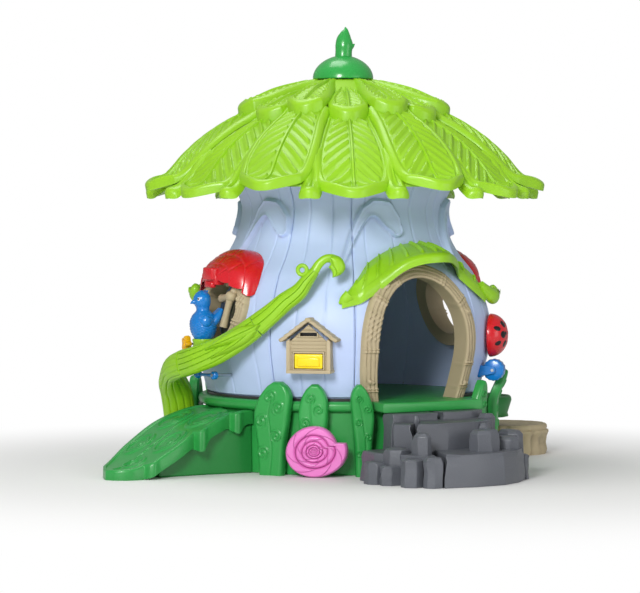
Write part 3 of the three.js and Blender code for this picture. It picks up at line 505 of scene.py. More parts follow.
def roof():
    """Two tiers of leaves, every second one lying over its neighbours, on a plain dome."""
    low_width = half_width_of(0.172, 0.112, 0.42, 0.76, EAVE_RADIUS, 0.62)
    high_width = half_width_of(0.092, 0.034, 0.13, 0.40, TIER_EDGE, 0.86)
    filler_width = half_width_of(0.050, 0.03, 0.70, 0.84, FILLER_EDGE, 0.80)
    for side, first_leaf in (("right", 1), ("left", 8)):
        bodies = []
        for number in range(first_leaf, first_leaf + LEAVES // 2):
            centre = LEAF_PHASE + LEAF_PITCH * number
            over = number % 2 == 1
            low = leaf_grid(centre, low_width, roof_top, 0.43, EAVE_RADIUS, (120, 95), (0.045, 0.75, 0.044),
                            0.004 if over else -0.028, 0.032, 0.085, 0.062)
            high = leaf_grid(centre, high_width, tier_top, 0.125, TIER_EDGE, (76, 57), (0.030, 0.72, 0.024),
                             0.004 if over else -0.026, 0.050, 0.042, 0.030)
            filler = leaf_grid(centre + LEAF_PITCH / 2, filler_width, roof_top, 0.68, FILLER_EDGE, (24, 15),
                               (1.0, 0.7, 1.0), -0.030, 0.034, 0.030, 0.0)
            bodies += [sheet_faces(*low), sheet_faces(*high), sheet_faces(*filler)]
        leaves = merged(f"roof_leaves_{side}", bodies, sharp_angle=50)
        finish(leaves, LIME, stands_for=[f"roof_half_{side}"])
    radii = np.linspace(0.06, DOME_RADIUS, 44)
    drop = 0.004 + 0.046 * smoothstep(0.12, 0.30, radii)
    top = list(zip(radii, roof_top(radii) - drop))
    under = [(r, z - 0.010) for r, z in reversed(top)]
    for side, start in (("right", LEAF_PHASE + LEAF_PITCH / 2), ("left", LEAF_PHASE + LEAF_PITCH / 2 + 180)):
        dome = revolve(f"roof_dome_{side}", top + under, 84, start + 0.03, start + 179.97)
        finish(dome, LIME_UNDER)


def cap():
    """The glossy cap and its bent, pointed stem with a cut side shoot."""
    arc = np.linspace(0, math.pi / 2, 18)
    dome = [(0.138 * math.cos(t) ** 1.12, CAP_BASE + 0.004 + 0.106 * math.sin(t)) for t in arc[:-1]]
    profile = [(0.0001, CAP_BASE), (0.134, CAP_BASE), *dome, (0.0001, CAP_BASE + 0.110)]
    finish(revolve("cap_dome", profile, 96), CAP_GREEN, stands_for=["finial_cap"])
    toward = np.array(CAMERA_AWAY)
    sideways = np.array(CAMERA_SIDE)
    stations = [(1.846, 0.000, 0.039), (1.878, 0.001, 0.038), (1.905, 0.003, 0.040), (1.932, 0.003, 0.035),
                (1.958, 0.007, 0.023), (1.976, 0.010, 0.011), (1.990, 0.008, 0.0008)]
    path = [sideways * (shift + 0.002) + np.array([0, 0, z]) for z, shift, _ in stations]
    stem = tube_rings(path, [r for _, _, r in stations], 56, 32, 0.86, outward=toward)
    shoot_places = ((0.014, 1.892), (0.038, 1.902), (0.054, 1.912))
    shoot_path = [sideways * x + np.array([0, 0, z]) for x, z in shoot_places]
    shoot = tube_rings(shoot_path, [0.024, 0.014, 0.001], 14, 14, outward=toward)
    obj = merged("cap_stem", [loft_faces(stem), loft_faces(shoot)])
    finish(obj, CAP_GREEN, stands_for=["finial_stem"])


# ---------- wall ----------


def curl_relief(angle, height):
    """Raised curling leaves around the neck of the wall."""
    total = np.zeros(np.shape(angle))
    shape = [(-34, 0.900, 0.002), (-31.5, 0.960, 0.008), (-28.5, 1.030, 0.013), (-25, 1.095, 0.018),
             (-20.5, 1.150, 0.026), (-15.5, 1.168, 0.036), (-10.5, 1.152, 0.046), (-6.5, 1.110, 0.044),
             (-4.2, 1.072, 0.030)]
    for end in CURL_ENDS:
        for wrap in (-360, 0, 360):
            local = angle - end + wrap
            if not ((local > -45) & (local < 8)).any():
                continue
            metres = np.radians(local) * 0.48
            path = [(math.radians(a) * 0.48, z, w) for a, z, w in shape]
            gap = distance_to_path(metres, height, path)
            raised = 0.021 * smoothstep(0.010, -0.006, gap)
            lip = 0.006 * bell(gap + 0.004, 0.006)
            total = np.maximum(total, raised + lip)
    return total


def panel_surface(angle, height, grooves):
    """How far the wall's outer face stands out from its plain vase shape."""
    relief = curl_relief(angle, height)
    for k, groove in enumerate(grooves):
        wander = 0.9 * np.sin(height * 5 + k * 2.1)
        metres = np.radians(angle - groove - wander) * wall_radius(height)
        relief = relief - 0.0045 * bell(metres, 0.0032) * smoothstep(0.012, 0.002, relief)
    return relief


def inside_opening(x, z, kind, shrink):
    if kind == "door":
        wide = DOOR["outer"] - shrink
        rise = DOOR["outer_top"] - DOOR["widest"] - shrink
        above = (x / wide) ** 2 + ((z - DOOR["widest"]) / rise) ** 2 < 1
        below = (x / wide) ** 2 + ((z - DOOR["widest"]) / DOOR["sag"]) ** 2 < 1
        return np.where(z > DOOR["widest"], above, below)
    half, rise = WINDOW["outer"]
    return (x / (half - shrink)) ** 2 + ((z - WINDOW["centre"]) / (rise - shrink)) ** 2 < 1


def wall_panel(name, centre, half, kind=None):
    step = 0.55
    angles = np.linspace(centre - half + 0.12, centre + half - 0.12, int(2 * half / step) + 1)
    heights = np.linspace(FLOOR_TOP + 0.0006, WALL_TOP, 190)
    angle, height = np.meshgrid(angles, heights)
    spacing = (-21, -7, 7, 21) if half > 20 else (-5.6, 5.6)
    relief = panel_surface(angle, height, [centre + s for s in spacing])
    edge = np.radians(half - 0.12 - np.abs(angle - centre)) * wall_radius(height)
    relief = relief - 0.006 * smoothstep(0.008, 0, edge) ** 2
    foot = -0.012 * smoothstep(FLOOR_TOP + 0.016, FLOOR_TOP + 0.012, height)
    outer = polar(angle, wall_radius(height) + relief + foot, height)
    inner = polar(angle, wall_radius(height) - WALL_THICKNESS - 0.004, height)
    keep = None
    if kind:
        middle_angle = (angle[:-1, :-1] + angle[1:, 1:]) / 2 - centre
        middle_height = (height[:-1, :-1] + height[1:, 1:]) / 2
        x = wall_radius(middle_height) * np.sin(np.radians(middle_angle))
        keep = ~inside_opening(x, middle_height, kind, 0.016)
    finish(sheet(name + "_skin", outer, inner, keep), WALL, stands_for=[name])


def walls():
    for name, centre, kind in (("front", 0, "door"), ("right", 90, "window"), ("back", 180, "door"),
                               ("left", -90, "window")):
        wall_panel(f"wall_{name}", centre, WIDE_HALF, kind)
    for name, centre in (("front_left", -45), ("front_right", 45), ("back_right", 135), ("back_left", -135)):
        wall_panel(f"wall_{name}", centre, NARROW_HALF)


# ---------- branch frames ----------


def door_line(t, half, top):
    """A point on the horseshoe arch, t from 0 at the right foot to 1 at the left foot."""
    low_share = 0.22
    low = FLOOR_TOP + 0.0006
    t = np.asarray(t, float)
    up = np.clip(t / low_share, 0, 1)
    down = np.clip((1 - t) / low_share, 0, 1)
    turn = np.pi * np.clip((t - low_share) / (1 - 2 * low_share), 0, 1)
    z_low = low + (DOOR["widest"] - low) * np.minimum(up, down)
    x_low = half * np.sqrt(1 - ((z_low - DOOR["widest"]) / DOOR["sag"]) ** 2)
    x_arch = half * np.cos(turn)
    z_arch = DOOR["widest"] + (top - DOOR["widest"]) * np.sin(turn)
    on_leg = (t < low_share) | (t > 1 - low_share)
    x = np.where(on_leg, np.where(t < 0.5, x_low, -x_low), x_arch)
    return x, np.where(on_leg, z_low, z_arch)


def window_line(t, half, rise):
    turn = 2 * np.pi * np.asarray(t, float) - np.pi / 2
    return half * np.cos(turn), WINDOW["centre"] + rise * np.sin(turn)


def bark_relief(t, c, length, bands, knots, lashing):
    """Relief of a frame that looks like bundled sticks: stick grooves, ties, knots and a lashing."""
    relief = 0.010 * (1 - np.abs(2 * c - 1) ** 5)
    wobble = 0.025 * np.sin(t * 31) + 0.015 * np.sin(t * 57 + 1)
    for groove in (0.22, 0.48, 0.76):
        relief = relief - 0.0055 * bell(c - groove - wobble, 0.035)
    relief = relief + 0.0014 * np.sin(t * length * 420 + 9 * c) * np.sin(c * 40)
    for at in bands:
        metres = (t - at) * length
        tie = bell(metres - 0.010, 0.0055) + bell(metres + 0.006, 0.0055)
        relief = relief + 0.008 * tie - 0.003 * bell(metres - 0.002, 0.003)
    for at, across in knots:
        gap = np.hypot((t - at) * length, (c - across) * 0.066)
        relief = relief + 0.012 * smoothstep(0.018, 0.008, gap) - 0.006 * bell(gap, 0.005)
    for start, end in lashing:
        on = smoothstep(start - 0.008, start, t) * smoothstep(end + 0.008, end, t)
        wave = np.sin(((t - start) * length + c * 0.075) * 2 * np.pi / 0.026)
        relief = relief + on * (0.003 + 0.0035 * wave)
    return relief


def branch_frame(name, angle, kind):
    stations = 260
    t = np.linspace(0, 1, stations, endpoint=kind == "door")[:, None]
    c = np.linspace(0, 1, 19)[None, :]
    if kind == "door":
        outer_line, inner_line = door_line(t, DOOR["outer"], DOOR["outer_top"]), door_line(
            t, DOOR["inner"], DOOR["inner_top"])
        length, ties = 1.75, (0.045, 0.135, 0.33, 0.41, 0.585, 0.66, 0.80, 0.955)
        knots, lashing = ((0.06, 0.5), (0.30, 0.4), (0.62, 0.3), (0.925, 0.5)), ((0.70, 0.765),)
    else:
        outer_line, inner_line = window_line(t, *WINDOW["outer"]), window_line(t, *WINDOW["inner"])
        length, ties = 1.1, (0.06, 0.2, 0.36, 0.52, 0.68, 0.85)
        knots, lashing = ((0.13, 0.4), (0.44, 0.55), (0.60, 0.3), (0.92, 0.5)), ((0.27, 0.32),)
    x = outer_line[0] + (inner_line[0] - outer_line[0]) * c
    z = outer_line[1] + (inner_line[1] - outer_line[1]) * c
    relief = bark_relief(t, c, length, ties, knots, lashing)

    def surface(x, z, proud):
        reach = np.sqrt(np.maximum((wall_radius(z) + proud) ** 2 - x ** 2, 0.01))
        return np.stack([x, -reach, z], axis=-1)

    front = surface(x, z, FRAME_PROUD - 0.004 + relief)
    deep = np.linspace(0.15, 1, 7)[None, :]
    ring_tie = sum(bell((t - at) * length, 0.012) for at in ties)
    pull = 0.004 * ring_tie * (1 - deep)
    reveal_x = inner_line[0] * (1 - pull / 0.2) * np.ones_like(deep)
    reveal_z = inner_line[1] * np.ones_like(deep)
    reveal = surface(reveal_x, reveal_z, FRAME_PROUD - deep * (FRAME_PROUD + FRAME_DEEP))
    back = surface(outer_line[0] * 0.98, outer_line[1], -FRAME_DEEP)
    side = surface(outer_line[0], outer_line[1], np.full_like(outer_line[0], -0.02))
    rings = np.concatenate([front, reveal, back, side], axis=1)
    obj = loft(name + "_sticks", turned(rings, angle), closed=kind != "door", sharp_angle=60)
    finish(obj, TAN, stands_for=[name])


def window_branches(name, angle, side):
    """Knotted sticks standing at one side of a window, seen under its hood."""
    foot = sideways_from(angle, wall_radius(0.64) + 0.014, 0.640, side * 0.085)
    knot = sideways_from(angle, wall_radius(0.775) + 0.022, 0.775, side * 0.108)
    head = sideways_from(angle, wall_radius(0.87) + 0.006, 0.870, side * 0.125)
    cross = sideways_from(angle, wall_radius(0.76) + 0.014, 0.765, side * 0.030)
    upper = sideways_from(angle, wall_radius(0.83) + 0.010, 0.825, side * 0.020)
    sticks = [tube_rings([foot, (foot + knot) / 2 + np.array([0, 0, 0.004]), knot],
                         [0.019, 0.015, 0.018], 30, 18),
              tube_rings([knot, head], [0.018, 0.013], 16, 18),
              tube_rings([knot, cross], [0.014, 0.017], 16, 18),
              tube_rings([head, upper], [0.012, 0.014], 16, 18)]
    bodies = [loft_faces(rings) for rings in sticks] + [ball_faces(knot, 0.026), ball_faces(cross, 0.019)]
    finish(merged(name, bodies, sharp_angle=60), TAN)


def frames():
    window_branches("left_window_branches", -90, 1)
    window_branches("right_window_branches", 90, -1)
    branch_frame("front_door_frame", 0, "door")
    branch_frame("back_door_frame", 180, "door")
    branch_frame("left_window_frame", -90, "window")
    branch_frame("right_window_frame", 90, "window")


# ---------- awnings and hoods ----------


def awning(name, angle):
    """An arched leaf canopy with cross ribs, a thick lip, a pointed left tip and a curled right end."""
    u = np.linspace(0, 1, 181)[None, :]
    v = np.linspace(0, 1, 49)[:, None]
    back_height = curve_through([(0, 0.775), (0.08, 0.850), (0.16, 0.925), (0.34, 0.988), (0.5, 1.010),
                                 (0.68, 0.996), (0.86, 0.926), (1, 0.812)])(u)
    fall = curve_through([(0, 0.018), (0.16, 0.115), (0.34, 0.060), (0.5, 0.053), (0.68, 0.065),
                          (0.86, 0.095), (1, 0.045)])(u)
    reach = curve_through([(0, 0.030), (0.16, 0.085), (0.34, 0.180), (0.5, 0.232), (0.66, 0.170),
                           (0.84, 0.062), (1, 0.034)])(u)
    phase = u * 12.5 + v * 0.75
    off = np.abs(phase - np.round(phase)) / 12.5 * 0.95
    field = smoothstep(0.03, 0.10, v) * smoothstep(0.80, 0.72, v) * smoothstep(0.04, 0.10, u)
    ribs = 0.014 * smoothstep(0.0085, 0.003, off) * field
    lip = 0.009 * smoothstep(0.80, 0.86, v)
    nose = 0.014 * (1 - np.sqrt(np.clip(1 - np.clip((v - 0.90) / 0.10, 0, 1) ** 2, 0, 1)))
    start = wall_radius(back_height) + 0.002
    direction = angle - 33.5 + 73.5 * u + 0 * v
    height = back_height - fall * v ** 1.5
    clear = wall_radius(height) + FRAME_PROUD * smoothstep(0.05, 0.12, u) + 0.012
    radius = np.maximum(start + reach * v, start + (clear - start) * smoothstep(0, 0.35, v))
    outer = polar(direction, radius, height + ribs + lip - nose)
    thick = 0.012 + 0.016 * smoothstep(0.78, 0.90, v)
    inner = polar(direction, radius - 0.004, height - thick)
    left_tip = tube_rings([polar(angle + a, r, z) for a, r, z in (
        (-30.5, 0.662, 0.790), (-33.0, 0.660, 0.764), (-34.6, 0.658, 0.752))],
        [0.026, 0.020, 0.004], 14, 18, 0.6)
    curl = tube_rings([polar(angle + a, r, z) for a, r, z in (
        (37.0, 0.660, 0.822), (40.0, 0.670, 0.796), (43.5, 0.686, 0.772), (46.3, 0.692, 0.768),
        (48.6, 0.688, 0.790),
        (48.2, 0.684, 0.814))], [0.018, 0.028, 0.035, 0.036, 0.031, 0.012], 48, 24, 0.8)
    scroll = polar(angle + 47.2, np.full(1, 0.722), np.full(1, 0.786))[0]
    button = tube_rings([scroll * np.array([0.97, 0.97, 1]), scroll], [0.017, 0.013], 4, 20)
    bodies = [sheet_faces(outer, inner), loft_faces(curl), loft_faces(left_tip), loft_faces(button)]
    finish(merged(name + "_leaf", bodies, sharp_angle=45), LIME, stands_for=[name])


def hood(name, angle):
    """A flower hood: petals lapping from the wall outward, with a hollow square tip at the front."""
    squareness = 2.6
    laps = ((0.00, 0.45, 0.776, 0.000), (0.32, 0.76, 0.808, -0.012), (0.64, 0.98, 0.832, -0.022))
    half = curve_through([(0, 0.212), (0.3, 0.202), (0.65, 0.160), (1, 0.078)])
    crown = curve_through([(0, 0.978), (0.3, 0.972), (0.65, 0.946), (1, 0.900)])
    front = 0.702
    bodies = []
    for start, end, brim, sink in laps:
        u = np.linspace(0, 1, 141)[None, :]
        v = np.linspace(start, end, 27)[:, None]
        share = (v - start) / (end - start)
        turn = np.pi * u
        arch = (1 - np.abs(np.cos(turn)) ** squareness) ** (1 / squareness)
        droop = brim + 0.012 * (2 * share - 1) ** 2 + 0.006 * share
        crease = smoothstep(0.30, 0.0, np.abs(np.sin(turn * 4 + 0.9 * share)))
        folds = -0.0030 * crease * smoothstep(0.0, 0.3, arch)

        def surface(shrink, relief):
            height = droop + (crown(v) + sink - droop - shrink) * arch
            x = (half(v) + sink - shrink + relief) * np.cos(turn)
            skin = np.sqrt(np.maximum((wall_radius(height) + 0.003) ** 2 - x ** 2, 0.01))
            bulge = 0.006 * np.sin(np.pi * share) * arch
            y = -(skin + (front - skin) * v + 0.4 * relief)
            return turned(np.stack([x, y, height + bulge + relief * arch], axis=-1), angle)

        bodies.append(sheet_faces(surface(0.0, folds), surface(0.009, 0.0)))
    tip_blocks = (
        (0.044, 0.903, 0.846, 0.664, 0.720),
        (0.052, 0.872, 0.824, 0.655, 0.706),
        (0.036, 0.840, 0.812, 0.690, 0.716),
    )
    for half_block, top, bottom, near, far in tip_blocks:
        outline = rounded([(-half_block, bottom), (half_block, bottom), (half_block * 0.92, top),
                           (-half_block * 0.92, top)], 0.010)
        bodies.append(plate_faces(outline, near, far, 0.007, angle))
    finish(merged(name + "_petals", bodies, sharp_angle=45), RED, stands_for=[name])


def canopies():
    awning("front_awning", 0)
    awning("back_awning", 180)
    hood("left_window_hood", -90)
    hood("right_window_hood", 90)


# ---------- base ----------


def skirt(name, centre):
    rim_low = FLOOR_TOP - 0.044
    loop = [(0.640, 0.0), (0.628, rim_low), (0.650, rim_low), (0.660, rim_low + 0.012),
            (0.660, FLOOR_TOP - 0.012),
            (0.650, FLOOR_TOP), (0.598, FLOOR_TOP), (0.598, 0.275), (0.618, 0.250), (0.618, 0.0)]
    obj = revolve(name + "_mould", rounded(loop, 0.010), 60, centre - 44.97, centre + 44.97, sharp_angle=30)
    finish(obj, GREEN, stands_for=[name])


def floor():
    r = 0.594
    profile = rounded([(0.0001, FLOOR_TOP), (r, FLOOR_TOP), (r, FLOOR_TOP - 0.034), (0.08, FLOOR_TOP - 0.034),
                       (0.09, 0.0), (0.0001, 0.0)], 0.006)
    finish(revolve("floor_panel", profile, 96), GREEN, stands_for=["floor_deck"])


def sill(name, angle):
    arc = np.radians(np.linspace(-21.5, 21.5, 15))
    rim = [(0.663 * math.sin(a), -0.663 * math.cos(a)) for a in arc]
    nose = [(0.262, -0.722), (0.13, -0.733), (0, -0.736), (-0.13, -0.733), (-0.262, -0.722)]
    outline = np.array(rim + nose)
    rings = []
    for z, inset in ((FLOOR_TOP - 0.041, 0.006), (FLOOR_TOP - 0.035, 0.0), (FLOOR_TOP - 0.008, 0.0),
                     (FLOOR_TOP - 0.002, 0.003), (FLOOR_TOP, 0.009)):
        middle = outline.mean(axis=0)
        pull = outline + (middle - outline) / np.linalg.norm(middle - outline, axis=1, keepdims=True) * inset
        rings.append(np.concatenate([pull, np.full((len(pull), 1), z)], axis=1))
    obj = loft(name + "_slab", turned(np.array(rings), angle), sharp_angle=40)
    finish(obj, GREEN, stands_for=[name])


def spiral(x, y, centre, size, hand=1):
    """Relief of one small raised spiral."""
    dx, dy = (x - centre[0]) * hand, y - centre[1]
    radius = np.hypot(dx, dy)
    turn = (np.arctan2(dy, dx) / (2 * np.pi)) % 1.0
    pitch = size * 0.62
    wrapped = (radius / pitch - turn) % 1.0
    off = np.minimum(wrapped, 1 - wrapped) * pitch
    inside = smoothstep(size, size * 0.88, radius)
    return 0.0050 * smoothstep(size * 0.20, size * 0.06, off) * inside


def leaf_post(name, angle, top, width, lean=0.0, curl=0.0):
    """A thick upright leaf with a stem line and spirals pressed into its front."""
    u = np.linspace(0, 1, 61)[None, :]
    v = np.linspace(0, 1, 121)[:, None]
    half = curve_through([(0, 0.34), (0.35, 0.40), (0.62, 0.50), (0.82, 0.46), (0.94, 0.30),
                          (1, 0.10)])(v) * width
    x = (u - 0.5) * 2 * half + lean * smoothstep(0.6, 1, v)
    local = x - lean * smoothstep(0.6, 1, v)
    hook = curl * smoothstep(0.62, 1, v)
    inside = np.minimum(half - np.abs(local), (1 - v) * top * 1.2)
    edge = np.clip(inside / 0.018, 0, 1)
    face = 0.046 - 0.020 * (1 - np.sqrt(1 - (1 - edge) ** 2))
    relief = -0.0035 * bell(local - 0.010 * np.sin(v * 6), 0.0035) * smoothstep(0.92, 0.8, v)
    size = width * 0.19
    for k, (sx, sv) in enumerate(((-0.20, 0.24), (0.20, 0.42), (-0.24, 0.58), (0.22, 0.72), (-0.10, 0.84))):
        centre = (sx * width, sv * top)
        relief = relief + spiral(local, v * top, centre, size, 1 if k % 2 else -1)
    z = v * top - hook * 0.12
    back_radius = 0.6625
    outer = np.stack(np.broadcast_arrays(x, -(back_radius + hook + face + relief), z), -1)
    inner = np.stack(np.broadcast_arrays(x, -(back_radius + hook + 0.006 * (1 - edge)), z), -1)
    obj = sheet(name + "_leaf", turned(outer, angle), turned(inner, angle), sharp_angle=50)
    finish(obj, GREEN, stands_for=[name])


POSTS = {
    "leaf_post_left_a": (-60, 0.410, 0.168, 0.030, 0), "leaf_post_left_b": (-44, 0.402, 0.128, 0.008, 0),
    "leaf_post_door_left": (-25.6, 0.405, 0.098, -0.022, 0.022),
    "leaf_post_door_right": (28, 0.400, 0.096, 0.016, 0.012), "leaf_post_right": (50, 0.440, 0.120, 0, 0.048),
    "leaf_post_back_right": (126, 0.410, 0.150, -0.016, 0),
    "leaf_post_back_door_right": (152, 0.400, 0.090, -0.016, 0.014),
    "leaf_post_back_door_left": (-152, 0.402, 0.090, 0.016, 0.014),
    "leaf_post_back_left": (-132, 0.396, 0.140, 0.016, 0),
}


def wall_foot():
    """A black strip as painted shadow in the gap between the wall's foot and the deck, on both sides of the
    doors.
    """
    radius = float(wall_radius(0.329)) + 0.0026
    profile = [(radius, 0.3236), (radius, 0.3345), (radius - 0.012, 0.3345), (radius - 0.012, 0.3236)]
    for side, start, end in (("right", 24, 156), ("left", 204, 336)):
        # painted shadow: a black ring just inside the wall's foot stands in for the shade in the gap
        finish(revolve(f"wall_foot_painted_shadow_{side}", profile, 80, start, end), BLACK)


def base():
    wall_foot()
    for name, centre in (("front", 0), ("right", 90), ("back", 180), ("left", -90)):
        skirt(f"base_skirt_{name}", centre)
    floor()
    sill("door_sill", 0)
    sill("back_door_sill", 180)
    for name, shape in POSTS.items():
        leaf_post(name, *shape)


# ---------- ramp, steps and landing ----------
ramp_height = curve_through([
    (-1.32, 0.042), (-1.18, 0.060), (-1.04, 0.128), (-0.88, 0.212), (-0.76, 0.256), (-0.67, 0.276),
    (-0.56, 0.2765)])
RAMP_NOTCHES = (-0.715, -0.915, -1.165)
RAMP_THICKNESS = 0.062


def ramp_edges(x):
    """Where the near and far edges of the ramp lie at x: lobed near side, smooth far side."""
    near = curve_through([(-1.312, -0.150), (-1.29, -0.192), (-1.24, -0.226), (-1.17, -0.244),
                          (-1.10, -0.256),
                          (-0.90, -0.250), (-0.72, -0.216), (-0.588, -0.204)])(x)
    for notch, depth in zip(RAMP_NOTCHES, (0.028, 0.034, 0.018)):
        past = notch - x
        near = near + depth * smoothstep(-0.012, 0.002, past) * np.exp(-np.maximum(past, 0) / 0.045)
        near = near - 0.012 * bell(past + 0.030, 0.022)
    far = curve_through([(-1.312, -0.150), (-1.29, -0.090), (-1.23, 0.020), (-1.12, 0.120), (-0.98, 0.182),
                         (-0.84, 0.206), (-0.588, 0.190)])(x)
    return near, far


def swirl(x, y, centre, size, tilt=0.0):
    """Relief of an oval ringed eye on the ramp."""
    c, s = math.cos(tilt), math.sin(tilt)
    dx, dy = x - centre[0], y - centre[1]
    along, across = (c * dx + s * dy) / 1.35, -s * dx + c * dy
    radius = np.hypot(along, across)
    rings = 0.008 * smoothstep(0.009, 0.003, np.abs(radius - size))
    rings = rings + 0.007 * smoothstep(0.008, 0.003, np.abs(radius - 0.62 * size)) * (across < 0.3 * size)
    return rings + 0.005 * smoothstep(0.26 * size, 0.1 * size, radius)


def ramp():
    v = np.linspace(0, 1, 241)[:, None]
    u = np.linspace(0, 1, 121)[None, :]
    x = -0.606 - 0.706 * (1 - (1 - v) ** 1.25) + 0 * u
    near, far = ramp_edges(x)
    y = near + (far - near) * u
    inside = np.minimum(np.minimum(y - near, far - y), (x + 1.312) * 0.9)
    edge = np.clip(inside / 0.014, 0, 1)
    relief = -0.012 * (1 - np.sqrt(1 - (1 - edge) ** 2)) - 0.007 * smoothstep(0.026, 0.036, inside)
    middle = curve_through([(-1.30, -0.14), (-1.0, -0.035), (-0.8, 0.0), (-0.6, 0.01)])(x)
    field = smoothstep(0.034, 0.044, inside)
    relief = relief + 0.006 * smoothstep(0.008, 0.003, np.abs(y - middle)) * field
    for centre, size in (((-0.78, -0.100), 0.072), ((-0.83, 0.100), 0.062), ((-0.99, -0.135), 0.056),
                         ((-1.03, 0.060), 0.052), ((-1.16, -0.130), 0.036)):
        relief = relief + swirl(x, y, centre, size, 0.15) * field
    top = ramp_height(x) + relief
    tabs = sum(bell(x - notch - 0.026, 0.030) for notch in RAMP_NOTCHES[:2])
    bottom = ramp_height(x) - RAMP_THICKNESS - 0.034 * tabs * smoothstep(0.06, 0.02, y - near)
    outer = np.stack([x, y, np.maximum(top, 0.004)], -1)
    inner = np.stack([x, y, np.maximum(bottom, 0.0)], -1)
    finish(sheet("ramp_leaf_mould", outer, inner, sharp_angle=45), GREEN,
           stands_for=["ramp_leaf"])


def ramp_support():
    """The hollow foot that carries the ramp, with slightly hollowed sides."""
    v = np.linspace(0, 1, 31)[:, None]
    u = np.linspace(0, 1, 31)[None, :]
    x = -0.606 - 0.462 * v + 0 * u
    waist = 0.1 * v + 0.05 * np.sin(np.pi * v)
    y = (-0.196 + 0.316 * u) * (1 - waist)
    top = ramp_height(x) - RAMP_THICKNESS - 0.002
    outer = np.stack([x, y, top], -1)
    inner = np.stack([x, y * 1.05, 0 * top], -1)
    obj = sheet("ramp_foot", outer, inner)
    add_bevel(obj, 0.008)
    finish(obj, DEEP_GREEN, stands_for=["ramp_support"])


def boulder_faces(outline, top, rng, taper=0.90, jitter=0.0035, step=0.085):
    """Points and faces of a rock block: a plan outline drawn in toward its top with uneven faces."""
    outline = np.array(outline, float)
    middle = outline.mean(axis=0)
    plan = []
    for a, b in zip(outline, np.roll(outline, -1, axis=0)):
        pieces = max(1, int(round(np.linalg.norm(b - a) / step)))
        plan += [a + (b - a) * k / pieces for k in range(pieces)]
    plan = np.array(plan)
    rings = []
    for level, scale in ((0, 1.0), (0.28, 0.995), (0.55, 0.975), (0.80, 0.955), (0.93, 0.94), (1.0, taper)):
        bend = rng.normal(0, jitter, plan.shape) if 0 < level < 1 else 0
        loop = middle + (plan - middle) * scale + bend
        lift = rng.normal(0, jitter * 0.35, len(plan)) if level == 1 else 0
        rings.append(np.concatenate([loop, (top * level + lift + 0 * loop[:, 0])[:, None]], axis=1))
    return loft_faces(np.array(rings))


def rock_steps():
    """Two treads of joined rock blocks with stray boulders standing on and around them."""
    rng = np.random.default_rng(11)
    blocks = [
        ([(-0.306, -1.212), (-0.372, -1.040), (-0.425, -0.880), (-0.400, -0.745), (-0.15, -0.745),
          (-0.20, -1.0)],
         0.130, 0.92),
        ([(-0.290, -1.224), (-0.15, -1.250), (0.01, -1.243), (0.12, -1.19), (0.214, -1.104), (0.272, -0.90),
          (0.268, -0.745), (-0.14, -0.745), (-0.19, -1.0)], 0.137, 0.94),
        ([(-0.279, -0.962), (-0.318, -0.880), (-0.262, -0.800), (-0.236, -0.745), (-0.15, -0.745),
          (-0.19, -0.86)],
         0.246, 0.92),
        ([(-0.264, -0.973), (-0.12, -1.003), (0.06, -0.985), (0.18, -0.93), (0.246, -0.84), (0.250, -0.745),
          (-0.14, -0.745), (-0.18, -0.86)], 0.250, 0.93),
        ([(-0.250, -0.692), (-0.262, -0.784), (-0.15, -0.804), (-0.02, -0.806), (-0.02, -0.692)],
         0.279, 0.93),
        ([(-0.012, -0.692), (-0.012, -0.806), (0.15, -0.804), (0.238, -0.774), (0.240, -0.692)], 0.281, 0.93),
    ]
    bodies = [boulder_faces(outline, top, rng, taper) for outline, top, taper in blocks]
    stones = [  # x, y, width, depth, height, share of its width kept at the top
        (-0.291, -1.064, 0.088, 0.092, 0.222, 0.55), (-0.352, -0.960, 0.128, 0.112, 0.158, 0.42),
        (-0.372, -1.100, 0.098, 0.104, 0.120, 0.66), (-0.425, -0.905, 0.112, 0.104, 0.096, 0.66),
        (-0.400, -0.985, 0.104, 0.090, 0.084, 0.72),
        (0.004, -1.100, 0.150, 0.124, 0.224, 0.80), (0.150, -1.060, 0.126, 0.116, 0.190, 0.62),
        (0.090, -0.976, 0.060, 0.060, 0.243, 0.66), (0.238, -0.960, 0.090, 0.150, 0.205, 0.70),
        (-0.318, -1.180, 0.092, 0.080, 0.128, 0.80), (-0.180, -0.850, 0.036, 0.036, 0.276, 0.60),
        (0.215, -0.820, 0.080, 0.080, 0.268, 0.66), (0.225, -1.060, 0.070, 0.080, 0.110, 0.60),
    ]
    for x, y, width, depth, height, kept in stones:
        turn = np.linspace(0, 2 * np.pi, 7, endpoint=False) + rng.uniform(0, 1)
        reach = 0.5 * (1 + rng.normal(0, 0.06, 7))
        outline = np.stack([x + width * reach * np.cos(turn), y + depth * reach * np.sin(turn)], -1)
        bodies.append(boulder_faces(outline, height, rng, kept, jitter=0.003, step=0.05))
    obj = merged("rock_blocks", bodies, sharp_angle=24)
    add_bevel(obj, 0.0055, 3, 22)
    finish(obj, ROCK, stands_for=["rock_steps"])


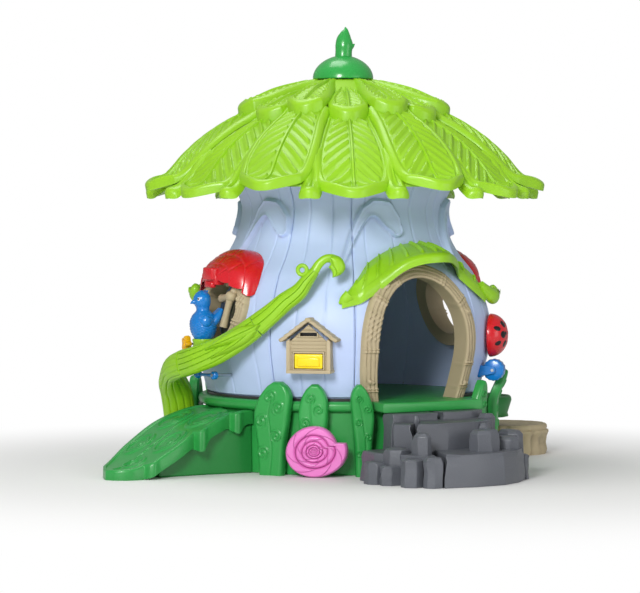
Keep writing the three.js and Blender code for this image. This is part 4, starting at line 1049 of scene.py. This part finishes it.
def stump():
    """A cut trunk: ridged bark below a split, layered rim."""
    low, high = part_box("stump_step")
    centre = np.array(low) / 2 + np.array(high) / 2
    reach = (high[0] - low[0]) / 2
    turn = np.radians(np.linspace(0, 360, 180, endpoint=False))
    ridges = 0.010 * np.abs(np.sin(turn * 9 + 1.5 * np.sin(turn * 3))) + 0.005 * np.sin(turn * 17 + 1)
    profile = [(0.02, 0.0), (0.95, 0.0), (0.975, 0.018), (0.925, 0.050), (0.94, 0.080), (0.975, 0.094),
               (1.0, 0.102), (1.0, 0.112), (0.965, 0.116), (0.985, 0.122), (0.975, 0.134), (0.93, 0.142),
               (0.88, 0.138), (0.60, 0.139), (0.57, 0.137), (0.54, 0.139), (0.30, 0.139), (0.27, 0.137),
               (0.24, 0.139), (0.02, 0.139)]
    rings = []
    for share, z in profile:
        depth = 1.0 if 0.0 < z < 0.115 else 0.4
        radius = share * reach - (ridges * depth if share > 0.8 else 0) + 0.003 * np.sin(turn * 5 + z * 60)
        rings.append(np.stack([centre[0] + radius * np.cos(turn), centre[1] + radius * np.sin(turn),
                               np.full_like(turn, z)], -1))
    finish(loft("stump_bark", np.array(rings), sharp_angle=55), TAN, stands_for=["stump_step"])


def landing():
    """A thick leaf reaching out over the stump, veined on top."""
    low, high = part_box("leaf_landing")
    v = np.linspace(0, 1, 91)[:, None]
    u = np.linspace(-1, 1, 81)[None, :]
    length = high[0] - LANDING_ROOT
    x = LANDING_ROOT + length * (1 - (1 - v) ** 1.4) + 0 * u
    reach = (x - LANDING_ROOT) / length
    half = high[1] * np.sqrt(np.clip(1 - np.clip((reach - 0.25) / 0.75, 0, 1) ** 2.2, 0, 1)) * 0.995 + 0.001
    y = u * half
    inside = np.minimum((1 - np.abs(u)) * half, high[0] - x)
    edge = np.clip(inside / 0.020, 0, 1)
    phase = (x - 0.7 * np.abs(y)) / 0.045
    off = np.abs(phase - np.round(phase)) * 0.045
    vein = 0.004 * smoothstep(0.006, 0.002, off) * smoothstep(0.03, 0.04, inside) * (np.abs(y) > 0.01)
    rib = 0.006 * smoothstep(0.009, 0.004, np.abs(y)) * smoothstep(0.03, 0.04, inside)
    drop = 0.020 * (1 - np.sqrt(1 - (1 - edge) ** 2)) + 0.004 * smoothstep(0.028, 0.036, inside)
    outer = np.stack([x, y, high[2] - drop + np.maximum(rib, vein)], -1)
    inner = np.stack([x - 0.02 * (1 - edge), y * 0.97, low[2] + 0.018 * (1 - edge)], -1)
    finish(sheet("landing_leaf", outer, inner, sharp_angle=50), DEEP_GREEN,
           stands_for=["leaf_landing"])


# ---------- vine ----------
RAIL = [(-64.3, 0.731, 0.653, 0.051), (-71, 0.756, 0.592, 0.055), (-78, 0.792, 0.537, 0.058),
        (-85, 0.826, 0.500, 0.060), (-91.4, 0.836, 0.478, 0.062)]
TIP = [(-43.2, 0.700, 0.894, 0.022), (-46, 0.704, 0.850, 0.030), (-49, 0.708, 0.802, 0.037),
       (-54, 0.713, 0.758, 0.042), (-58.6, 0.720, 0.710, 0.045), (-64, 0.729, 0.657, 0.051)]


def vine_faces(stations, ridges, rows=150, cols=61, front=0.010, back=-0.018, twist=0.25):
    """Points and faces of a grooved, flattened stem along (angle, radius, height, half width) stations."""
    knots = np.linspace(0, 1, len(stations))
    columns = np.array(stations, float).T
    t = np.linspace(0, 1, rows)
    angle, radius, height, half = [curve_through(list(zip(knots, column)))(t) for column in columns]
    centre = polar(angle, radius, height)
    tangent = np.gradient(centre, axis=0)
    tangent /= np.linalg.norm(tangent, axis=1, keepdims=True)
    outward = centre * np.array([1, 1, 0])
    across = np.cross(outward, tangent)
    across /= np.linalg.norm(across, axis=1, keepdims=True)
    normal = np.cross(tangent, across)
    normal /= np.linalg.norm(normal, axis=1, keepdims=True)
    if np.mean(np.sum(normal * outward, axis=1)) < 0:
        normal = -normal
    u = np.linspace(-1, 1, cols)[None, :]
    half = half[:, None]
    inside = (1 - np.abs(u)) * half
    edge = np.clip(inside / 0.014, 0, 1)
    groove = np.abs(np.sin(np.pi * (u * ridges / 2 + twist * np.sin(t[:, None] * 5))))
    ridge = (1 - smoothstep(0.0, 0.35, groove)) * smoothstep(0.006, 0.014, inside)
    relief = 0.016 * (1 - u ** 2) - 0.006 * ridge
    relief = relief - 0.012 * (1 - np.sqrt(1 - (1 - edge) ** 2))
    place_of = centre[:, None] + across[:, None] * (u * half)[..., None]
    outer = place_of + normal[:, None] * (front + relief)[..., None]
    inner = place_of + normal[:, None] * (back + 0.008 * (1 - edge))[..., None]
    return sheet_faces(outer, inner)


def vine_tip():
    """The top of the vine: a narrowing stem, a curl that ends in an arrow leaf, and a ring to hold."""
    curl = tube_rings([polar(a, r, z) for a, r, z in (
        (-43.8, 0.702, 0.880), (-41.8, 0.695, 0.922), (-39.4, 0.689, 0.946), (-36.6, 0.684, 0.946),
        (-34.9, 0.682, 0.925))], [0.021, 0.019, 0.018, 0.020, 0.020], 40, 20, 0.7)
    blade = vine_faces([(-37.6, 0.688, 0.950, 0.014), (-35.8, 0.689, 0.934, 0.030),
                        (-35.2, 0.689, 0.908, 0.036),
                        (-35.6, 0.687, 0.886, 0.022), (-36.6, 0.684, 0.868, 0.003)], 1, 40, 31)
    turn = np.linspace(0, 2 * np.pi, 40, endpoint=False)[:, None]
    tube = np.linspace(0, 2 * np.pi, 14, endpoint=False)[None, :]
    ring = np.stack(np.broadcast_arrays(
        (0.020 + 0.0095 * np.cos(tube)) * np.cos(turn), -0.712 - 0.0095 * np.sin(tube),
        0.898 + (0.020 + 0.0095 * np.cos(tube)) * np.sin(turn)), -1)
    bodies = [vine_faces(TIP, 3), loft_faces(curl), blade, loft_faces(turned(ring, -47.4), closed=True)]
    finish(merged("vine_tip_stem", bodies, sharp_angle=55), LIME, stands_for=["vine_tip"])


def vine_rail():
    """The middle of the vine, with a folded leaf over its joint and the round stand for the bird."""
    fold = vine_faces([(-80, 0.808, 0.545, 0.006), (-74, 0.786, 0.585, 0.022), (-69, 0.762, 0.618, 0.030),
                       (-64.5, 0.742, 0.640, 0.022), (-61.8, 0.734, 0.658, 0.002)], 2, 90, 31, front=0.018)
    low_fold = vine_faces([(-78, 0.802, 0.506, 0.006), (-72, 0.776, 0.556, 0.018), (-67, 0.752, 0.602, 0.024),
                           (-63.2, 0.738, 0.634, 0.010)], 2, 80, 31, front=0.014)
    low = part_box("bird")[0]
    x, y = polar(BIRD_STAND_ANGLE, BIRD_STAND_RADIUS, 0)[:2]
    stand_top = low[2] - 0.0006
    turn = np.linspace(0, 2 * np.pi, 48, endpoint=False)
    stand = []
    for radius, z in ((0.030, -0.062), (0.046, -0.052), (0.049, -0.040), (0.044, -0.020), (0.050, -0.006),
                      (0.048, 0.0), (0.01, 0.0)):
        stand.append(np.stack([x + radius * np.cos(turn), y + radius * np.sin(turn),
                               np.full_like(turn, stand_top + z)], -1))
    web = rod_faces(polar(BIRD_STAND_ANGLE, 0.760, 0.535), polar(BIRD_STAND_ANGLE, 0.826, 0.528), 0.018)
    bodies = [vine_faces(RAIL, 5), fold, low_fold, loft_faces(np.array(stand)), web]
    finish(merged("vine_rail_stem", bodies, sharp_angle=55), LIME, stands_for=["vine_rail"])


def vine_stalk():
    """The fluted trunk of the vine, turning down to the floor behind the ramp."""
    route = [(-91.6, 0.838, 0.478), (-99, 0.836, 0.446), (-105, 0.806, 0.395), (-110, 0.770, 0.320),
             (-114, 0.748, 0.190), (-117, 0.741, 0.002)]
    depth = curve_through([(0, 0.42), (0.25, 0.75), (0.5, 1.35), (1, 1.35)])
    points = [polar(a, r, z) for a, r, z in route]
    rings = tube_rings(points, [0.060, 0.058, 0.054, 0.052, 0.052, 0.056], 120, 96)
    centre = rings.mean(axis=1, keepdims=True)
    outward = centre * np.array([1, 1, 0])
    outward /= np.linalg.norm(outward, axis=2, keepdims=True)
    offset = rings - centre
    radial = np.sum(offset * outward, axis=2, keepdims=True)
    t = np.linspace(0, 1, len(rings))[:, None, None]
    turn = np.linspace(0, 2 * np.pi, 96, endpoint=False)[None, :, None]
    flutes = 1 - 0.10 * (1 - smoothstep(0.0, 0.5, np.abs(np.sin(turn * 6 + 1.2 * t))))
    rings = centre + (offset + radial * outward * (depth(t) - 1)) * flutes
    rings[..., 2] = np.maximum(rings[..., 2], 0)
    finish(loft("vine_trunk", rings, sharp_angle=60), LIME, stands_for=["vine_stalk"])


# ---------- toys ----------


def bird():
    """A plump bird with a crest, wings and a fanned tail; its beak points along +X before it is placed."""
    turn = np.linspace(0, 2 * np.pi, 64, endpoint=False)
    profile = curve_through([(0, 0.040), (0.012, 0.048), (0.040, 0.058), (0.075, 0.060), (0.105, 0.048),
                             (0.124, 0.031), (0.138, 0.030), (0.152, 0.036), (0.170, 0.039), (0.188, 0.036),
                             (0.202, 0.026), (0.212, 0.012), (0.215, 0.001)])
    heights = np.concatenate([np.linspace(0, 0.20, 60), np.linspace(0.202, 0.215, 8)])
    rings = []
    for z in heights:
        feathers = 0.0016 * np.sin(z * 520 + 2.5 * np.sin(turn * 9))
        scale = feathers * smoothstep(0.01, 0.02, z) * smoothstep(0.12, 0.10, z)
        radius = profile(z) + scale
        lean = 0.006 * smoothstep(0.10, 0.17, z)
        flat = np.full_like(turn, z)
        rings.append(np.stack([radius * np.cos(turn) + lean, radius * np.sin(turn), flat], -1))
    beak = tube_rings([(0.030, 0, 0.164), (0.048, 0, 0.162), (0.060, 0, 0.155)], [0.014, 0.009, 0.001],
                      14, 16,
                      outward=(0, 1, 0))
    tail = [tube_rings([(-0.026, side * 0.5, 0.060), (-0.056, side * 0.8, 0.094), (-0.080, side, 0.132)],
                       [0.034, 0.029, 0.010], 24, 18, 0.7, outward=(1, 0, 0.4))
            for side in (-0.022, 0.0, 0.022)]
    wings = [tube_rings([(0.030, side * 0.050, 0.092), (0.000, side * 0.058, 0.080),
                         (-0.038, side * 0.044, 0.086)],
                        [0.010, 0.026, 0.004], 24, 16, 0.5, outward=(0, side, 0)) for side in (-1, 1)]
    crest = [tube_rings([(-0.002 - k * 0.010, 0, 0.205), (-0.010 - k * 0.012, 0, 0.217 - k * 0.003)],
                        [0.008, 0.001], 8, 10, outward=(0, 1, 0)) for k in range(2)]
    bodies = [loft_faces(np.array(rings)), loft_faces(beak)]
    bodies += [loft_faces(part) for part in tail + wings + crest]
    eyes = [ball_faces((0.027, side * 0.029, 0.176), 0.0085, (1, 0.6, 1)) for side in (-1, 1)]
    pupils = [ball_faces((0.0315, side * 0.0320, 0.177), 0.0045, (1, 0.7, 1)) for side in (-1, 1)]
    base = polar(BIRD_STAND_ANGLE, BIRD_STAND_RADIUS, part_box("bird")[0][2])
    pieces = (("bird_body", bodies, BLUE), ("bird_eyes", eyes, WHITE), ("bird_pupils", pupils, BLACK))
    for name, parts, material in pieces:
        placed = [(turned(np.asarray(points).reshape(-1, 3), 165) + base, faces) for points, faces in parts]
        obj = merged(name, placed, sharp_angle=50)
        finish(obj, material, "bird", ["bird"] if name == "bird_body" else ())


def flower():
    """A soft five-petalled bloom that spins on the wall, with a round button."""
    low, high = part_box("flower_spinner")
    centre_z = (low[2] + high[2]) / 2
    turn = np.linspace(0, 2 * np.pi, 80, endpoint=False)
    rings = []
    for share, depth in ((0.90, 0.733), (1.0, 0.740), (1.0, 0.752), (0.93, 0.760), (0.70, 0.7615),
                         (0.45, 0.757),
                         (0.42, 0.761), (0.30, 0.7635), (0.02, 0.7638)):
        reach = 0.039 * share * (1 - (0.16 - 0.16 * np.cos(5 * turn)) * (share > 0.5) * 0.9)
        across = np.full_like(turn, -depth)
        rings.append(np.stack([reach * np.cos(turn), across, centre_z + reach * np.sin(turn)], -1))
    obj = loft("flower_bloom", turned(np.array(rings), -103), sharp_angle=50)
    finish(obj, ORANGE, "flower", ["flower_spinner"])


def lever():
    """A thin handle with a ball at its free end, swinging on a hub."""
    angle, radius, height = -83, 0.742, 0.428
    knob = sideways_from(angle, radius, height, -0.118)
    arm = tube_rings([sideways_from(angle, radius, height, x) for x in (-0.118, -0.06, 0.0)],
                     [0.0085, 0.007, 0.010], 24, 16)
    hub_ends = [polar(angle, radius + step, height) for step in (-0.011, 0.011)]
    hub = rod_faces(hub_ends[0], hub_ends[1], 0.018, 32, 0.003)
    finish(merged("lever_handle", [ball_faces(knob, 0.0188), loft_faces(arm), hub]), BLUE,
           "lever", ["lever"])


def ladybug():
    """A domed ladybird that spins on the wall, with a wing seam and sunk black spots."""
    angle, base, height = 45, 0.6775, 0.590
    turn = np.linspace(0, 2 * np.pi, 120, endpoint=False)[None, :]
    rise = np.linspace(0, 1, 44)[:, None]
    radius = LADYBUG_RADIUS * np.cos(np.pi / 2 * rise) ** 0.9
    bulge = LADYBUG_RISE * np.sin(np.pi / 2 * rise)
    x, z = radius * np.cos(turn), radius * np.sin(turn)
    seam = 0.0035 * smoothstep(0.0045, 0.001, np.abs(x)) * (z < 0.055)
    collar = 0.003 * smoothstep(0.0045, 0.001, np.abs(z - 0.055))
    skirt_ring = np.stack([x[0] * 0.96, np.full(120, -base), z[0] * 0.96], -1)[None]
    flange = np.stack([x[0], np.full(120, -base - LADYBUG_FLANGE), z[0]], -1)[None]
    dome = np.stack([x, -(base + LADYBUG_FLANGE + bulge - seam - collar), z], -1)
    rings = np.concatenate([skirt_ring, flange, dome[:-1], dome[-1:] * np.array([0, 1, 0])], axis=0)
    rings[-1] = np.array([0, -(base + 0.083), 0]) + 0.001 * np.stack(
        [np.cos(turn[0]), 0 * turn[0], np.sin(turn[0])], -1)
    rings[..., 2] += height
    obj = loft("ladybug_shell", turned(rings, angle), sharp_angle=50)
    finish(obj, RED, "ladybug", ["ladybug"])
    spots = []
    half_spots = ((0.032, 0.052, 0.0155), (0.052, 0.006, 0.0165), (0.030, -0.036, 0.0155),
                  (0.074, 0.034, 0.011),
                  (0.072, -0.032, 0.011), (0.030, 0.012, 0.009))
    for cx, cz, size in [(side * x, z, size) for side in (-1, 1) for x, z, size in half_spots]:
        share = np.array([0.02, 0.5, 0.85, 1.0])[:, None]
        around = np.linspace(0, 2 * np.pi, 28, endpoint=False)[None, :]
        px, pz = cx + size * share * np.cos(around), cz + size * share * np.sin(around)
        out = np.clip(np.hypot(px, pz) / LADYBUG_RADIUS, 0, 0.999)
        surface = base + LADYBUG_FLANGE + LADYBUG_RISE * np.sqrt(1 - (out ** (1 / 0.9)) ** 2)
        top = np.stack([px, -(surface + 0.0012 * (1 - share ** 4)), pz + height], -1)
        under = np.stack([px, -(surface - 0.003), pz + height], -1)
        rings = np.concatenate([top, under[::-1]], axis=0)
        spots.append(loft_faces(turned(rings, angle)))
    finish(merged("ladybug_spots", spots), BLACK, "ladybug")


def roller():
    """A fluted drum under the ladybird, turning between two arms on a wall plate."""
    angle, radius, height, size, half = 42, 0.706, 0.436, 0.050, 0.030
    turn = np.linspace(0, 2 * np.pi, 96, endpoint=False)
    flutes = 1 - 0.05 * np.abs(np.sin(turn * 8))
    rings = []
    for x, share in ((-half, 0.80), (-half + 0.003, 0.93), (-half + 0.010, 1.0), (half - 0.010, 1.0),
                     (half - 0.003, 0.93), (half, 0.80)):
        reach = size * share * (flutes if share == 1.0 else 0.98)
        across = -radius + reach * np.cos(turn)
        rings.append(np.stack([np.full_like(turn, x), across, height + reach * np.sin(turn)], -1))
    obj = loft("roller_drum", turned(np.array(rings), angle), sharp_angle=40)
    finish(obj, BLUE, "roller", ["roller"])
    bodies = []
    for x in (-0.038, 0.038):
        outline = [(radius - 0.080, height - 0.028), (radius - 0.02, height - 0.022),
                   (radius + 0.012, height - 0.012),
                   (radius + 0.015, height + 0.008), (radius, height + 0.018),
                   (radius - 0.080, height + 0.022)]
        loop = rounded(outline, 0.012)
        arm = [np.stack([np.full(len(loop), x + side), -loop[:, 0], loop[:, 1]], -1)
               for side in (-0.0048, 0.0048)]
        bodies.append(loft_faces(turned(np.array(arm), angle)))
    plate = rounded([(-0.041, height - 0.034), (0.041, height - 0.034), (0.041, height + 0.026),
                     (-0.041, height + 0.026)], 0.012)
    bodies.append(plate_faces(plate, radius - 0.090, radius - 0.054, 0.003, angle))
    obj = merged("roller_arms", bodies)
    add_bevel(obj, 0.0015, 2, 40)
    finish(obj, BLUE, stands_for=["roller_bracket"])


def birdhouse():
    """A letter box like a birdhouse: boarded walls, log roof, a slot above and a yellow flap below."""
    angle, half, bottom, eave, peak, face, wall = -45, 0.095, 0.458, 0.604, 0.678, 0.722, 0.010
    x = np.linspace(-half, half, 121)[None, :]
    v = np.linspace(0, 1, 141)[:, None]
    ceiling = peak - 0.016 - (peak - 0.013 - eave + 0.026) * np.abs(x) / half * 0.98
    z = bottom + (ceiling - bottom) * v
    board = ((z - bottom) / 0.0165) % 1.0
    relief = 0.004 * board - 0.002 * smoothstep(0.10, 0.0, board)
    inner_frame = 0.006 * smoothstep(half - 0.018, half - 0.014, np.abs(x))
    flap_frame = np.maximum(np.abs(x) - 0.073, np.maximum(z - 0.546, 0.463 - z))
    slot_frame = np.maximum(np.abs(x) - 0.046, np.maximum(z - 0.636, 0.604 - z))
    trims = 0.006 * np.maximum(smoothstep(0.0, -0.003, flap_frame), smoothstep(0.0, -0.003, slot_frame))
    front = face - 0.004 + np.maximum(relief * (trims == 0), np.maximum(inner_frame, trims))
    outer = np.stack([x + 0 * v, -front, z], -1)
    inner = np.stack([x + 0 * v, -np.full_like(front, face - wall), z], -1)
    cx = (x[:, :-1] + x[:, 1:]) / 2 + 0 * v[:-1]
    cz = (z[:-1, :-1] + z[1:, 1:]) / 2
    in_flap = (np.abs(cx) < 0.065) & (cz > 0.469) & (cz < 0.538)
    in_slot = (np.abs(cx) < 0.038) & (cz > 0.612) & (cz < 0.628)
    points, faces = sheet_faces(outer, inner, ~(in_flap | in_slot))
    bodies = [(turned(points, angle), faces)]
    for side in (-1, 1):
        outline = rounded([(side * half, bottom), (side * (half - wall), bottom),
                           (side * (half - wall), 0.600),
                           (side * half, 0.592)], 0.002)
        bodies.append(plate_faces(outline, 0.600, face - 0.002, 0.001, angle))
        corner = rounded([(side * (half + 0.003), bottom - 0.004), (side * (half - 0.013), bottom - 0.004),
                          (side * (half - 0.013), 0.600), (side * (half + 0.003), 0.590)], 0.004)
        bodies.append(plate_faces(corner, face - 0.014, face + 0.006, 0.003, angle))
    foot = rounded([(-half - 0.004, bottom - 0.008), (half + 0.004, bottom - 0.008),
                    (half + 0.004, bottom + 0.006),
                    (-half - 0.004, bottom + 0.006)], 0.004)
    bodies.append(plate_faces(foot, 0.600, face + 0.008, 0.003, angle))
    finish(merged("birdhouse_walls", bodies, sharp_angle=30), TAN,
           stands_for=["birdhouse_box"])
    birdhouse_roof(angle, peak, face)
    # painted shade: a black plate just behind the letter slot stands in for the dark inside of the box
    back = rounded([(-0.040, 0.609), (0.040, 0.609), (0.040, 0.631), (-0.040, 0.631)], 0.004)
    shade = merged("birdhouse_slot_painted_shade", [plate_faces(back, face - 0.016, face - 0.011, 0.001, angle)])
    finish(shade, BLACK)


def birdhouse_roof(angle, peak, face):
    """Two slopes of lapped rounded boards."""
    bodies = []
    run, fall = 0.116, 0.088
    for side in (-1, 1):
        direction = np.array([side * run, -fall]) / math.hypot(run, fall)
        normal = np.array([side * fall, run]) / math.hypot(run, fall)
        ridge = np.array([0.0, peak - 0.006])
        length = math.hypot(run, fall)
        boards = 5
        for k in range(boards):
            start = ridge + direction * (length * k / boards - 0.004)
            end = ridge + direction * (length * (k + 1) / boards + 0.006)
            lift = 0.004
            loop = np.array([start + normal * 0.001, end + normal * lift, end + normal * (lift + 0.017),
                             start + normal * 0.016])
            bodies.append(plate_faces(rounded(loop, 0.007), 0.606, face + 0.014, 0.004, angle))
    cap_log = rounded([(-0.016, peak - 0.004), (0.016, peak - 0.004), (0.012, peak + 0.014),
                       (-0.012, peak + 0.014)], 0.008)
    bodies.append(plate_faces(cap_log, 0.606, face + 0.018, 0.004, angle))
    finish(merged("birdhouse_boards", bodies, sharp_angle=40), TAN,
           stands_for=["birdhouse_roof"])


def flap():
    """The letter flap: a rounded yellow tray hung from a pin."""
    angle, centre = -45, 0.717
    outline = rounded([(-0.062, 0.472), (0.062, 0.472), (0.062, 0.530), (-0.062, 0.530)], 0.006)
    rim = plate_faces(outline, centre - 0.003, centre + 0.006, 0.002, angle)
    tray = rounded([(-0.050, 0.480), (0.050, 0.480), (0.050, 0.518), (-0.050, 0.518)], 0.008)
    pocket = plate_faces(tray, centre, centre + 0.013, 0.005, angle)
    ends = [sideways_from(angle, centre, FLAP_PIN_HEIGHT, side) for side in (-0.062, 0.062)]
    knuckle = rod_faces(ends[0], ends[1], 0.006)
    finish(merged("flap_tray", [rim, pocket, knuckle]), YELLOW, "flap", ["birdhouse_flap"])


def snail_shell():
    """A pink shell coiled in relief; a few grooves cross its coils."""
    angle, centre_z, back, thick, tallest = -43, 0.112, 0.712, 0.042, 0.111
    around, shares = 240, np.concatenate([np.linspace(0.01, 0.97, 90), [0.985, 1.0]])
    turn = np.linspace(0, 2 * np.pi, around, endpoint=False)
    reach = 0.106 + 0.044 * turn / (2 * np.pi)
    rings = []
    for share in shares:
        radius = reach * share
        pitch = 0.052 * (0.35 + 0.65 * radius / 0.15)
        f = (np.log(np.maximum(radius, 0.004) / reach) / np.log(1.55) + 60) % 1.0
        coil = 0.6 * pitch * np.sqrt(np.clip(1 - (2 * f - 1) ** 2, 0, 1))
        step = np.abs(np.sin(turn * 3.5 + 1.4 * f + 5 * share))
        rays = 0.006 * smoothstep(0.10, 0.02, step) * smoothstep(0.0, 0.15, f) * smoothstep(1.0, 0.85, f)
        depth = back + thick - 0.021 + np.minimum(coil, 0.0205) - rays * smoothstep(0.1, 0.25, share)
        x = 0.002 + radius * np.cos(turn + 0.4)
        z = np.maximum(centre_z + np.minimum(radius, tallest * share) * np.sin(turn + 0.4), 0.001)
        rings.append(np.stack([x, -depth, z], -1))
    rim_x, rim_z = rings[-1][:, 0], rings[-1][:, 2]
    rings.append(np.stack([rim_x, np.full_like(turn, -back - 0.014), rim_z], -1))
    rings.append(np.stack([rim_x, np.full_like(turn, -back), rim_z], -1))
    obj = loft("snail_coil", turned(np.array(rings), angle), sharp_angle=60)
    finish(obj, PINK, stands_for=["snail_shell"])


def pins():
    for name, node in frame["nodes"].items():
        if name.endswith("_pin"):
            node.data.materials.clear()
            node.data.materials.append(STEEL)


roof()
cap()
walls()
frames()
canopies()
base()
ramp()
ramp_support()
rock_steps()
stump()
landing()
vine_tip()
vine_rail()
vine_stalk()
bird()
flower()
lever()
ladybug()
roller()
birdhouse()
flap()
snail_shell()
pins()

# ---------- room, light and camera ----------


def stage():
    mesh = bpy.data.meshes.new("studio_floor")
    size = 30
    corners = [(-size, -size, 0), (size, -size, 0), (size, size, 0), (-size, size, 0)]
    mesh.from_pydata(corners, [], [(0, 1, 2, 3)])
    ground = bpy.data.objects.new("studio_floor", mesh)
    bpy.context.scene.collection.objects.link(ground)
    material, nodes, links, shader = new_material("studio_floor")
    shader.inputs["Base Color"].default_value = (0.84, 0.84, 0.83, 1)
    shader.inputs["Roughness"].default_value = 0.8
    place_node = nodes.new("ShaderNodeTexCoord")
    away = nodes.new("ShaderNodeVectorMath")
    away.operation = "LENGTH"
    centred = nodes.new("ShaderNodeVectorMath")
    centred.operation = "ADD"
    centred.inputs[1].default_value = (0.27, 0.42, 0)
    links.new(place_node.outputs["Object"], centred.inputs[0])
    links.new(centred.outputs["Vector"], away.inputs[0])
    fade = nodes.new("ShaderNodeMapRange")
    fade.interpolation_type = "SMOOTHSTEP"
    fade.inputs["From Min"].default_value = 1.25
    fade.inputs["From Max"].default_value = 3.1
    links.new(away.outputs["Value"], fade.inputs["Value"])
    seen = nodes.new("ShaderNodeLightPath")
    both = nodes.new("ShaderNodeMath")
    both.operation = "MULTIPLY"
    links.new(fade.outputs["Result"], both.inputs[0])
    links.new(seen.outputs["Is Camera Ray"], both.inputs[1])
    glow = nodes.new("ShaderNodeEmission")
    blend = nodes.new("ShaderNodeMixShader")
    links.new(both.outputs["Value"], blend.inputs["Fac"])
    links.new(shader.outputs["BSDF"], blend.inputs[1])
    links.new(glow.outputs["Emission"], blend.inputs[2])
    links.new(blend.outputs["Shader"], nodes["Material Output"].inputs["Surface"])
    ground.data.materials.append(material)


def world():
    sky = bpy.data.worlds.new("studio")
    bpy.context.scene.world = sky
    sky.use_nodes = True
    nodes, links = sky.node_tree.nodes, sky.node_tree.links
    light = nodes["Background"]
    light.inputs["Color"].default_value = (1, 1, 1, 1)
    light.inputs["Strength"].default_value = 0.36
    backdrop = nodes.new("ShaderNodeBackground")
    backdrop.inputs["Color"].default_value = (1, 1, 1, 1)
    backdrop.inputs["Strength"].default_value = 1.0
    seen = nodes.new("ShaderNodeLightPath")
    blend = nodes.new("ShaderNodeMixShader")
    links.new(seen.outputs["Is Camera Ray"], blend.inputs["Fac"])
    links.new(light.outputs["Background"], blend.inputs[1])
    links.new(backdrop.outputs["Background"], blend.inputs[2])
    links.new(blend.outputs["Shader"], nodes["World Output"].inputs["Surface"])


def area_light(name, location, aim, size, power):
    data = bpy.data.lights.new(name, "AREA")
    data.size = size
    data.energy = power
    lamp = bpy.data.objects.new(name, data)
    lamp.location = location
    lamp.rotation_euler = (Vector(aim) - Vector(location)).to_track_quat("-Z", "Y").to_euler()
    bpy.context.scene.collection.objects.link(lamp)


def camera():
    data = bpy.data.cameras.new("photo_view")
    data.lens = 160
    data.sensor_width = 36
    view = bpy.data.objects.new("photo_view", data)
    location = Vector((-7.093, -10.895, 1.2045))
    aim = Vector((-0.0885, 0.0566, 0.76))
    view.location = location
    view.rotation_euler = (aim - location).to_track_quat("-Z", "Y").to_euler()
    bpy.context.scene.collection.objects.link(view)
    bpy.context.scene.camera = view


stage()
world()
area_light("key", (-6.0, -5.5, 3.6), (0, 0, 0.8), 2.0, 470)
area_light("fill", (2.5, -8.0, 1.6), (0, 0, 0.9), 4.0, 110)
area_light("top", (-0.5, 1.0, 6.5), (0, 0, 1.0), 3.0, 130)
camera()
bpy.context.scene.view_settings.view_transform = "Standard"
